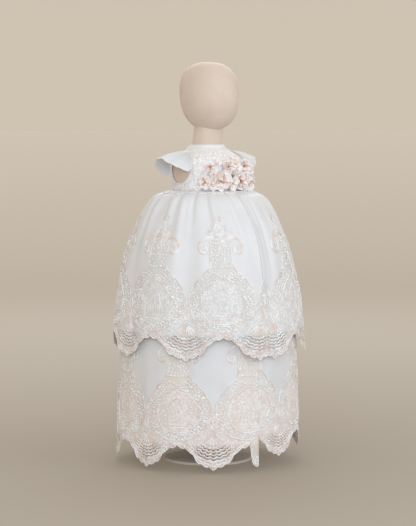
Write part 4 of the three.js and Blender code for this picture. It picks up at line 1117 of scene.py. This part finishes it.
class GOWN_OT_form(Operator):
    """Makes the dress form: head, torso, pole and base"""
    bl_idname = "gown.form"
    bl_label = "Dress form"

    def execute(self, context):
        colours = context.scene.gown_colours
        cover = plain_material("form cover", colours.form, 0.6, 0.25, Sheen_Weight=0.2)
        metal = plain_material("form stand", colours.stand, 0.55, 0.1)
        place(self.head(cover), "form", "form_head")
        place(self.torso(cover), "form", "form_torso")
        place(self.turned("form_stand_pole", metal, POLE["radius"], POLE["foot"], POLE["top"]), "stand", "form_pole")
        place(self.turned("form_stand_base", metal, BASE["radius"], 0, BASE["thickness"]), "stand", "form_base")
        return {"FINISHED"}

    @staticmethod
    def head(material):
        """An egg from a squared sine and cosine, narrower at the chin and leaning forward there."""
        turn = np.linspace(1e-3, np.pi - 1e-3, 49)[:, None]
        around = full_turn(72)[None, :]
        rise = -bent(np.cos(turn), 2 / HEAD["squareness"])
        girth = bent(np.sin(turn), 2 / HEAD["squareness"]) * (1 + HEAD["taper"] * rise)
        x = HEAD["width"] / 2 * girth * np.sin(around)
        y = -HEAD["depth"] / 2 * girth * np.cos(around) - HEAD["lean"] * (1 - rise) / 2
        z = HEAD["chin"] + HEAD["height"] / 2 * (1 + rise)
        return make_object("form_head_cover", *capped(together(x, y, z)), material)

    @staticmethod
    def torso(material):
        """The torso's rounded ovals from its flat foot up to the neck inside the head."""
        heights = np.concatenate([np.linspace(560, 690, 40), np.linspace(691, 740, 60), np.linspace(744, 776, 9)])
        angle = np.linspace(0, 360, 90, endpoint=False)
        points = torso_point(-angle[None, :], heights[:, None])
        return make_object("form_torso_cover", *capped(points), material)

    @staticmethod
    def turned(name, material, radius, foot, top, soft=1.2):
        """A round bar or plate with softened edges: a profile turned about the axis."""
        profile = np.array([(radius - soft, foot), (radius - 0.3 * soft, foot + 0.3 * soft), (radius, foot + soft),
                            (radius, top - soft), (radius - 0.3 * soft, top - 0.3 * soft), (radius - soft, top)])
        turn = full_turn(64)
        points = together(profile[:, :1] * np.cos(turn), profile[:, :1] * np.sin(turn), profile[:, 1:])
        return make_object(name, *capped(points), material)


class GOWN_OT_skirts(Operator):
    """Makes the satin of both tiers"""
    bl_idname = "gown.skirts"
    bl_label = "Satin tiers"

    def execute(self, context):
        material = satin_material(context.scene.gown_colours.satin)
        for half in HALVES:
            tier = tier_of(half)
            rows, columns = SATIN_GRID
            along = np.linspace(0, 1, rows)[:, None] ** 1.25 * (tier.length - SATIN_ABOVE_TIP)
            angle = np.linspace(half["from"] + EDGE_CLEAR, half["to"] - EDGE_CLEAR, columns)[None, :]
            lip = torso_cloth(angle, WAIST + 0.4 + 0 * angle, BODICE_OUT + 0.2 + 0 * angle)
            points = np.concatenate([lip, tier.cloth(angle, along + 0 * angle, np.full(SATIN_GRID, SATIN))])
            obj = make_object(f"{half['name']}_satin_{half['half']}", points, [quads(rows + 1, columns)], material)
            thicken(obj, context.scene.gown_sizes.satin_thickness)
            place(obj, "satin", f"{half['name']}_skirt_{half['half']}")
            declare_sheet(points)
        return {"FINISHED"}


class GOWN_OT_lace(Operator):
    """Makes the lace borders of both tiers: net ground, raised cords and beads"""
    bl_idname = "gown.lace"
    bl_label = "Lace borders"

    def execute(self, context):
        colours = context.scene.gown_colours
        nets = {"upper": net_material("gown upper net", colours.upper_net, colours.upper_seam, colours.upper_band),
                "lower": net_material("gown lower net", colours.lower_net, colours.lower_seam, colours.lower_band)}
        cord = cord_material(colours.cord, colours.thread)
        bead = bead_material("gown bead", colours.bead, 0.92, Roughness=0.18, Coat_Weight=0.5, Coat_Roughness=0.1)
        sequin = bead_material("gown sequin", colours.bead, 0.94, Roughness=0.16, Specular_IOR_Level=0.8,
                               Coat_Weight=0.4)
        for half in HALVES:
            name = f"{half['name']}_lace_{half['half']}"
            tier = tier_of(half)
            fans = fan_angles(half["middles"])
            scallops = fans[fans > half["from"]] if has_corner(half) else fans
            reach = math.radians(REPEAT_ANGLE / 2) * tier.radius(tier.length)
            drawings = [lace_drawing(half, medallion_cords(), half["middles"]), lace_drawing(half, fan_cords(), fans),
                        lace_drawing(half, hem_cords(reach), scallops), self.edge(half)]
            points, faces = join(drawings)
            cords = place(make_object(name + "_cords", points, [faces], cord), "lace")
            sets = (lace_beads(half, medallion_beads(), half["middles"]), lace_beads(half, fan_beads(reach), scallops))
            pieces = [cords]
            for k, (kind, finish) in enumerate((("beads", bead), ("sequins", sequin))):
                pieces.append(place(self.joined(f"{name}_{kind}", [group[k] for group in sets], finish), "lace"))
            self.ground(half, name, nets[half["name"]], pieces)
        return {"FINISHED"}

    @staticmethod
    def joined(name, fields, material):
        """Several fields of beads as one object."""
        starts = np.cumsum([0] + [len(field[0]) for field in fields])
        return make_object(name, np.concatenate([field[0] for field in fields]),
                           [np.concatenate([field[k] + start for field, start in zip(fields, starts)]) for k in (1, 2)],
                           material)

    @staticmethod
    def edge(half):
        """A cord down the front edge and one down the back edge of a half tier."""
        tier = tier_of(half)
        strips = []
        for angle, side in ((half["from"], 1), (half["to"], -1)):
            low = float(hem_rise(half, np.array([angle + side * 0.3]))[0])
            rises = np.linspace(low, 128 if abs(angle) > 90 else 150, 50)
            flat = cord_strip(np.stack([np.full(50, side * 1.6), rises], axis=1), *SIDE_CORD)
            rows, columns = flat.shape[:2]
            flat = flat.reshape(-1, 3)
            turned, along, out = on_lace(half, [angle], flat, LACE_OUT + flat[:, 2])
            strips.append((tier.cloth(turned, along, out).reshape(-1, 3), quads(rows, columns)))
        if has_corner(half):
            width = math.radians(FRONT_CORNER["notch"] - FRONT_CORNER["edge"]) * tier.radius(tier.length)
            corner = smooth_path(np.stack([-np.array(FRONT_CORNER["shares"]) * width, FRONT_CORNER["rises"]], axis=1))
            cords = [(corner + (-1, 1), *SIDE_CORD), (corner + (-4, 5), *FINE_CORD)]
            cords += [(loop(x, t, 3.2, 8), *FINE_CORD) for x in (-13, -20) for t in (14, 22, 30, 38, 46)]
            strips.append(lace_drawing(half, cords, [FRONT_CORNER["notch"]]))
        return join(strips)

    @staticmethod
    def ground(half, name, material, with_pieces):
        """The net: a grid from the scalloped hem up, without the faces outside the medallions' outline. Its flat
        coordinates are measured from the nearest fan."""
        tier = tier_of(half)
        rows, columns = NET_GRID
        angle = np.broadcast_to(np.linspace(half["from"] + EDGE_CLEAR, half["to"] - EDGE_CLEAR, columns), NET_GRID)
        low = hem_rise(half, angle[0])
        rise = half["top"] + (low - half["top"]) * np.linspace(0, 1, rows)[:, None]
        along = tier.length - rise
        points = tier.cloth(angle, along, np.full(NET_GRID, LACE_OUT))
        faces = quads(rows, columns)
        middle_angle = angle.ravel()[faces].mean(axis=1)
        middle_rise = rise.ravel()[faces].mean(axis=1)
        aside = from_medallion(half, middle_angle, tier.length - middle_rise)
        inside = (middle_rise < MEDALLION_EDGE[0, 0]) | (aside < np.interp(middle_rise, *MEDALLION_EDGE.T))
        scroll = smooth_path(VOLUTE, 1.5)
        near = np.hypot(aside[:, None] - scroll[:, 0], middle_rise[:, None] - scroll[:, 1]).min(axis=1)
        beside = (middle_rise > VOLUTE_OPEN["from"]) & (middle_rise < VOLUTE_OPEN["to"]) & (aside > VOLUTE_OPEN["half"])
        inside &= ~(beside & (near > VOLUTE_OPEN["band"]))
        band = ring_ground(from_medallion(half, angle, along), rise)
        fans = fan_angles(half["middles"])
        nearest = fans[np.argmin(np.abs(middle_angle[:, None] - fans), axis=1)]
        across = np.radians(angle.ravel()[faces] - nearest[:, None]) * tier.radius(along.ravel()[faces])
        uv = np.stack([across, rise.ravel()[faces]], axis=-1)[inside]
        obj = make_object(name + "_net", points, [faces[inside]], material, uv=uv.reshape(-1, 2),
                          values={"band": band, "unrolled": np.radians(angle) * tier.radius(tier.length)})
        place(obj, "lace", name)
        declare_sheet(points)


class GOWN_OT_bodice(Operator):
    """Makes the bodice's front and back panels"""
    bl_idname = "gown.bodice"
    bl_label = "Bodice"

    def execute(self, context):
        colours = context.scene.gown_colours
        material = bodice_material(colours.bodice, colours.lining)
        cord = cord_material(colours.lining, colours.bodice)
        for name, start, end, columns in (("bodice_front", -90, 90, 150), ("bodice_back_right", 90, 180, 76),
                                          ("bodice_back_left", 180, 270, 76)):
            heights = np.concatenate([np.linspace(WAIST, 690, 44), np.linspace(690.8, 719, 42)])
            angle = np.linspace(start + 0.1, end - 0.1, columns)[None, :]
            puckers = 0.35 * np.cos(np.radians(angle * 20)) * np.exp(-(heights[:, None] - WAIST) / 14)
            points = torso_cloth(angle, heights[:, None] + 0 * angle, BODICE_OUT + puckers)
            faces = quads(len(heights), columns, flip=True)
            middle = points.reshape(-1, 3)[faces].mean(axis=1)
            inside = ~in_armhole(middle, 0.6)
            length = np.concatenate([[0], np.cumsum(np.linalg.norm(np.diff(points[:, columns // 2], axis=0), axis=1))])
            flat = together(np.radians(angle) * BODICE_FLAT, length[:, None])
            obj = make_object(name + "_lace", points, [faces[inside]], material,
                              uv=flat.reshape(-1, 2)[faces[inside]].reshape(-1, 2))
            thicken(obj, 0.9)
            place(obj, "lace", name)
            sprigs = place(self.sprigs(name + "_sprigs", start, end, cord), "lace")
            edge = place(self.edge(name + "_edge", angle, material), "lace")
            declare_sheet(points)
        return {"FINISHED"}

    @staticmethod
    def edge(name, angle, material):
        """The lace's scalloped lower edge, from the waist out over the top of the gathers."""
        tier = TIERS["upper", "right"]
        share = np.linspace(0, 1, BODICE_EDGE["rows"])[:, None]
        scallops = BODICE_EDGE["scallop"] * np.abs(np.cos(np.radians(angle * 9)))
        along = share[1:] * (BODICE_EDGE["length"] + scallops + BODICE_EDGE["uneven"] * np.sin(np.radians(angle * 5)))
        over = tier.cloth(angle, along, SATIN + 0.7 + 0.5 * np.cos(np.radians(angle * 36)) * share[1:])
        top = torso_cloth(angle, WAIST + 1.5 + 0 * angle, BODICE_OUT + 0.4 + 0 * angle)
        flat = together(np.radians(angle) * BODICE_FLAT, -BODICE_EDGE["flat"] * share)
        faces = quads(len(share), angle.shape[1])
        obj = make_object(name, np.concatenate([top, over]), [faces], material,
                          uv=flat.reshape(-1, 2)[faces].reshape(-1, 2))
        return thicken(obj, 0.5)

    @staticmethod
    def sprigs(name, start, end, material):
        """Raised sprigs of a rosette with leaves, in staggered rows over a panel."""
        cords = [(rosette(0, 0, 5.5), *FINE_CORD), (loop(0, 0, 1.6, 6), *FINE_CORD)]
        for foot, heading in ((5, 30), (5, -30), (-5, 150), (-5, -150)):
            cords.append((leaf(0, foot, heading, 9, 4), *FINE_CORD))
        flat, faces = cord_strips(cords)
        turn = np.array([(angle, height) for row, height in enumerate((633, 652, 671, 689))
                         for angle in np.arange(start + 9 + 8 * (row % 2), end - 6, 17.5)])
        angle = turn[:, :1] + np.degrees(flat[None, :, 0] / 80)
        heights = turn[:, 1:] + flat[None, :, 1] * 0.9
        points = torso_cloth(angle, heights, BODICE_OUT + flat[None, :, 2] + 0 * angle).reshape(-1, 3)
        all_faces = copies(faces, len(turn), len(flat))
        bad = in_armhole(points, 3) | (angle.ravel() < start) | (angle.ravel() > end)
        return make_object(name, points, [all_faces[~bad[all_faces].any(axis=1)]], material)


class GOWN_OT_bindings(Operator):
    """Makes the neck band, the armhole bindings and the back buttons"""
    bl_idname = "gown.bindings"
    bl_label = "Bindings and buttons"

    def execute(self, context):
        colours = context.scene.gown_colours
        material = plain_material("gown binding", colours.binding, 0.55, 0.4, Sheen_Weight=0.2)
        pearl = plain_material("gown button", colours.pearl, 0.2, 0.05, Coat_Weight=0.6)
        place(self.neck(material), "binding", "neck_binding")
        for name, side in (("right", -1), ("left", 1)):
            place(self.arm(f"armhole_roll_{name}", side, material), "binding", f"armhole_binding_{name}")
        for i, height in enumerate(BUTTON_HEIGHTS, start=1):
            place(self.button(f"pearl_button_{i}", height, pearl), "pearl", f"back_button_{i}")
        return {"FINISHED"}

    @staticmethod
    def neck(material):
        """A soft band round the neck: a rounded oblong carried round the neck's oval."""
        turn = full_turn(20)
        thick, tall = NECK_BAND["thickness"] / 2, NECK_BAND["height"] / 2
        out, up = thick * bent(np.cos(turn), NECK_BAND["bend"]), tall * bent(np.sin(turn), NECK_BAND["bend"])
        angle = np.linspace(0, 360, 120, endpoint=False)[None, :]
        z = NECK_BAND["foot"] + tall + up[:, None] + 0.25 * np.cos(np.radians(angle * 30)) * (up[:, None] > 0)
        flare = NECK_BAND["flare"] * (0.5 - up[:, None] / tall / 2)
        points = torso_point(angle, z, NECK_BAND["clear"] + thick + flare + out[:, None])
        return make_object("neck_band", points, [quads(21, 120, closed=True, flip=True) % (20 * 120)], material)

    @staticmethod
    def arm(name, side, material):
        """A rolled binding: a small circle carried round the armhole."""
        turn = np.linspace(0, 360, 96, endpoint=False)
        middle = armhole(turn, side, 0, BODICE_OUT)
        ahead = unit(np.roll(middle, -1, axis=0) - np.roll(middle, 1, axis=0))
        aside = unit(armhole(turn, side, 2, BODICE_OUT) - middle)
        up = np.cross(ahead, aside)
        around = full_turn(12)[:, None, None]
        points = middle + BINDING_RADIUS * (np.cos(around) * aside + np.sin(around) * up)
        return make_object(name, points, [quads(13, 96, closed=True, flip=True) % (12 * 96)], material)

    @staticmethod
    def button(name, height, material):
        """A low domed button on the centre back."""
        spot, across, down, out = torso_frame(np.array([180.0]), np.array([float(height)]))
        turn = full_turn(28)
        flat = BUTTON_PROFILE[:, :1] * np.cos(turn), BUTTON_PROFILE[:, :1] * np.sin(turn)
        points = (spot[0] + out[0] * (BODICE_OUT + SEAM_GAP + BUTTON_PROFILE[:, 1, None, None])
                  + flat[0][..., None] * across[0] - flat[1][..., None] * down[0])
        return make_object(name, *capped(points, flip=True), material)


class GOWN_OT_sleeves(Operator):
    """Makes the two cap sleeves"""
    bl_idname = "gown.sleeves"
    bl_label = "Cap sleeves"

    def execute(self, context):
        material = organza_material(context.scene.gown_colours.sleeve)
        for name, side in (("right", -1), ("left", 1)):
            points = self.surface(side)
            rows, columns = points.shape[:2]
            flat = np.stack(np.meshgrid(np.linspace(0, 150, columns), np.linspace(0, 50, rows)), axis=-1).reshape(-1, 2)
            faces = quads(rows, columns, flip=side > 0)
            obj = make_object(f"cap_sleeve_{name}", points, [faces], material, uv=flat[faces].reshape(-1, 2))
            thicken(obj, 0.8)
            place(obj, "organza", f"sleeve_{name}")
            declare_sheet(points)
        return {"FINISHED"}

    @staticmethod
    def surface(side):
        """From the armhole's seam to the rim by a quadratic curve through a point puffed up and out, with a ripple
        that grows towards the rim."""
        share = np.linspace(0, 1, 110)[None, :]
        fall = np.linspace(0, 1, 26)[:, None]
        turn = SLEEVE["seam_from"] + (SLEEVE["seam_to"] - SLEEVE["seam_from"]) * share[0]
        seam = armhole(turn, side, SLEEVE["grown"], SLEEVE_OUT)
        rim = smooth_path(SLEEVE_RIM * (side, 1, 1), 0.5)
        even = np.linspace(0, 1, len(rim))
        edge = np.stack([np.interp(share[0], even, rim[:, k]) for k in range(3)], axis=1)
        swell = np.sin(np.pi * share[0])[:, None]
        middle = seam + (edge - seam) * SLEEVE["puff_at"] + swell * (side * SLEEVE["puff_out"], 0, SLEEVE["puff_up"])
        f = fall[:, :, None]
        points = (1 - f) ** 2 * seam + 2 * f * (1 - f) * middle + f ** 2 * edge
        ripple = SLEEVE["gather_depth"] * np.cos(2 * np.pi * SLEEVE["gathers"] * share + 0.6 * np.sin(5 * share))
        fine = 0.5 * np.cos(2 * np.pi * 17 * share + 1.3) * fall
        points[..., 2] += fall * np.sin(np.pi * share) * (ripple + fine)
        return points


class GOWN_OT_corsage(Operator):
    """Makes the corsage of silk flowers"""
    bl_idname = "gown.corsage"
    bl_label = "Corsage"

    def execute(self, context):
        colours, sizes = context.scene.gown_colours, context.scene.gown_sizes
        petal = petal_material(colours.petal, colours.blush, colours.heart)
        thread = plain_material("gown stamen", colours.stamen, 0.6, 0.1)
        rng = np.random.default_rng(7)
        for name, angle, height, radius, turn in FLOWERS:
            frames, seat = self.seat(angle, height, 0)
            self.blossom(name + "_petals", frames, seat, PETAL_ROUNDS, radius * 1.08, turn, sizes.petal_ruffle, rng,
                         petal, name)
            points, faces = self.stamens(radius, rng)
            place(make_object(name + "_stamens", seat + points @ frames, [faces], thread), "petal")
        for i, (angle, height, radius, lift) in enumerate(FILLERS, start=1):
            frames, seat = self.seat(angle, height, lift)
            self.blossom(f"corsage_small_{i}", frames, seat, FILLER_ROUNDS, radius, 40 * i, sizes.petal_ruffle * 1.4,
                         rng, petal)
        return {"FINISHED"}

    @staticmethod
    def seat(angle, height, lift):
        """Where a blossom sits on the bodice: directions right, up and out as rows, turned part of the way to the
        front, and the point itself, lifted to clear the bodice by the turn."""
        spot, _, _, out = (v[0] for v in torso_frame(np.array([float(angle)]), np.array([float(height)])))
        faced = angle * FACING["share"] + FACING["turn"]
        _, across, down, ahead = (v[0] for v in torso_frame(np.array([faced]), np.array([float(height)])))
        lift = lift + FACING["lift"] * abs(faced - angle)
        return np.stack([across, -down, ahead]), spot + out * (SLEEVE_OUT + lift)

    @staticmethod
    def blossom(name, frames, seat, rounds, radius, turn, ruffle, rng, material, *nodes):
        """Rounds of petals. A petal is a strip whose half width swells along its length like a sine, cupped up towards
        its tip, bowed across and ruffled at the edge."""
        rows, columns = PETAL_GRID
        v = np.linspace(0, 1, rows)[:, None]
        u = np.linspace(-1, 1, columns)[None, :]
        parts, reaches, blushes = [], [], []
        for count, size, lean, cup, offset in rounds:
            for k in range(count):
                length = radius * size * (1 + 0.1 * rng.normal())
                half = length * 0.54 * np.sin(np.pi * (0.07 + 0.80 * v)) ** 0.8
                wave = ruffle * length * v ** 2 * np.sin(2.5 * np.pi * u + rng.uniform(0, 6.3))
                along = length * (0.06 + 0.94 * v) * (1 - 0.10 * u ** 2 * v)
                x = half * u
                z = radius * 0.12 + length * (lean * v + cup * v ** 2) - 0.35 * half * u ** 2 + wave
                heading = math.radians(turn + offset + 360 * k / count + 9 * rng.normal())
                c, s = math.cos(heading), math.sin(heading)
                parts.append(together(x * c + along * s, along * c - x * s, z).reshape(-1, 3))
                reaches.append(np.broadcast_to(v * size, PETAL_GRID).ravel())
                blushes.append(np.full(rows * columns, rng.random()))
        faces = copies(quads(rows, columns, flip=True), len(parts), rows * columns)
        obj = make_object(name, seat + np.concatenate(parts) @ frames, [faces], material,
                          values={"reach": np.concatenate(reaches), "blush": np.concatenate(blushes)})
        return place(obj, "petal", *nodes)

    @staticmethod
    def stamens(radius, rng, count=12, steps=7, sides=4):
        """Fine curved threads from a flower's heart, each a thin tube that leans outwards and thickens at its tip."""
        t = np.linspace(0, 1, steps)[None, :, None]
        heading = rng.uniform(0, 2 * np.pi, count)[:, None, None]
        spread = rng.uniform(0.2, 0.85, count)[:, None, None] * radius
        tall = rng.uniform(0.45, 0.8, count)[:, None, None] * radius
        middle = np.concatenate([spread * t ** 1.4 * np.cos(heading), spread * t ** 1.4 * np.sin(heading),
                                 radius * 0.12 + tall * np.sin(t * 1.5)], axis=2)
        turn = 2 * np.pi * np.arange(sides) / sides
        thick = (0.38 + 0.6 * (t > 0.9))[..., None]
        around = np.stack([np.cos(turn), np.sin(turn), 0 * turn], axis=1)
        points = middle[:, :, None, :] + thick * around[None, None]
        return points.reshape(-1, 3), copies(quads(steps, sides, closed=True), count, steps * sides)


class GOWN_PT_panel(Panel):
    """Colours, sizes and the pieces of the gown"""
    bl_label = "Christening gown"
    bl_idname = "GOWN_PT_panel"
    bl_space_type = "VIEW_3D"
    bl_region_type = "UI"
    bl_category = "Gown"

    def draw(self, context):
        for group in (context.scene.gown_colours, context.scene.gown_sizes):
            for key in group.bl_rna.properties.keys():
                if key not in {"rna_type", "name"}:
                    self.layout.prop(group, key)
        for operator in OPERATORS:
            self.layout.operator(operator.bl_idname)


OPERATORS = (GOWN_OT_stage, GOWN_OT_form, GOWN_OT_skirts, GOWN_OT_lace, GOWN_OT_bodice, GOWN_OT_bindings,
             GOWN_OT_sleeves, GOWN_OT_corsage)
CLASSES = (GownColours, GownSizes, *OPERATORS, GOWN_PT_panel)


def register():
    for cls in CLASSES:
        bpy.utils.register_class(cls)
    bpy.types.Scene.gown_colours = PointerProperty(type=GownColours)
    bpy.types.Scene.gown_sizes = PointerProperty(type=GownSizes)


def unregister():
    del bpy.types.Scene.gown_sizes
    del bpy.types.Scene.gown_colours
    for cls in reversed(CLASSES):
        bpy.utils.unregister_class(cls)


def main():
    register()
    for operator in OPERATORS:
        getattr(bpy.ops.gown, operator.bl_idname.split(".")[1])()


if __name__ == "__main__":
    main()
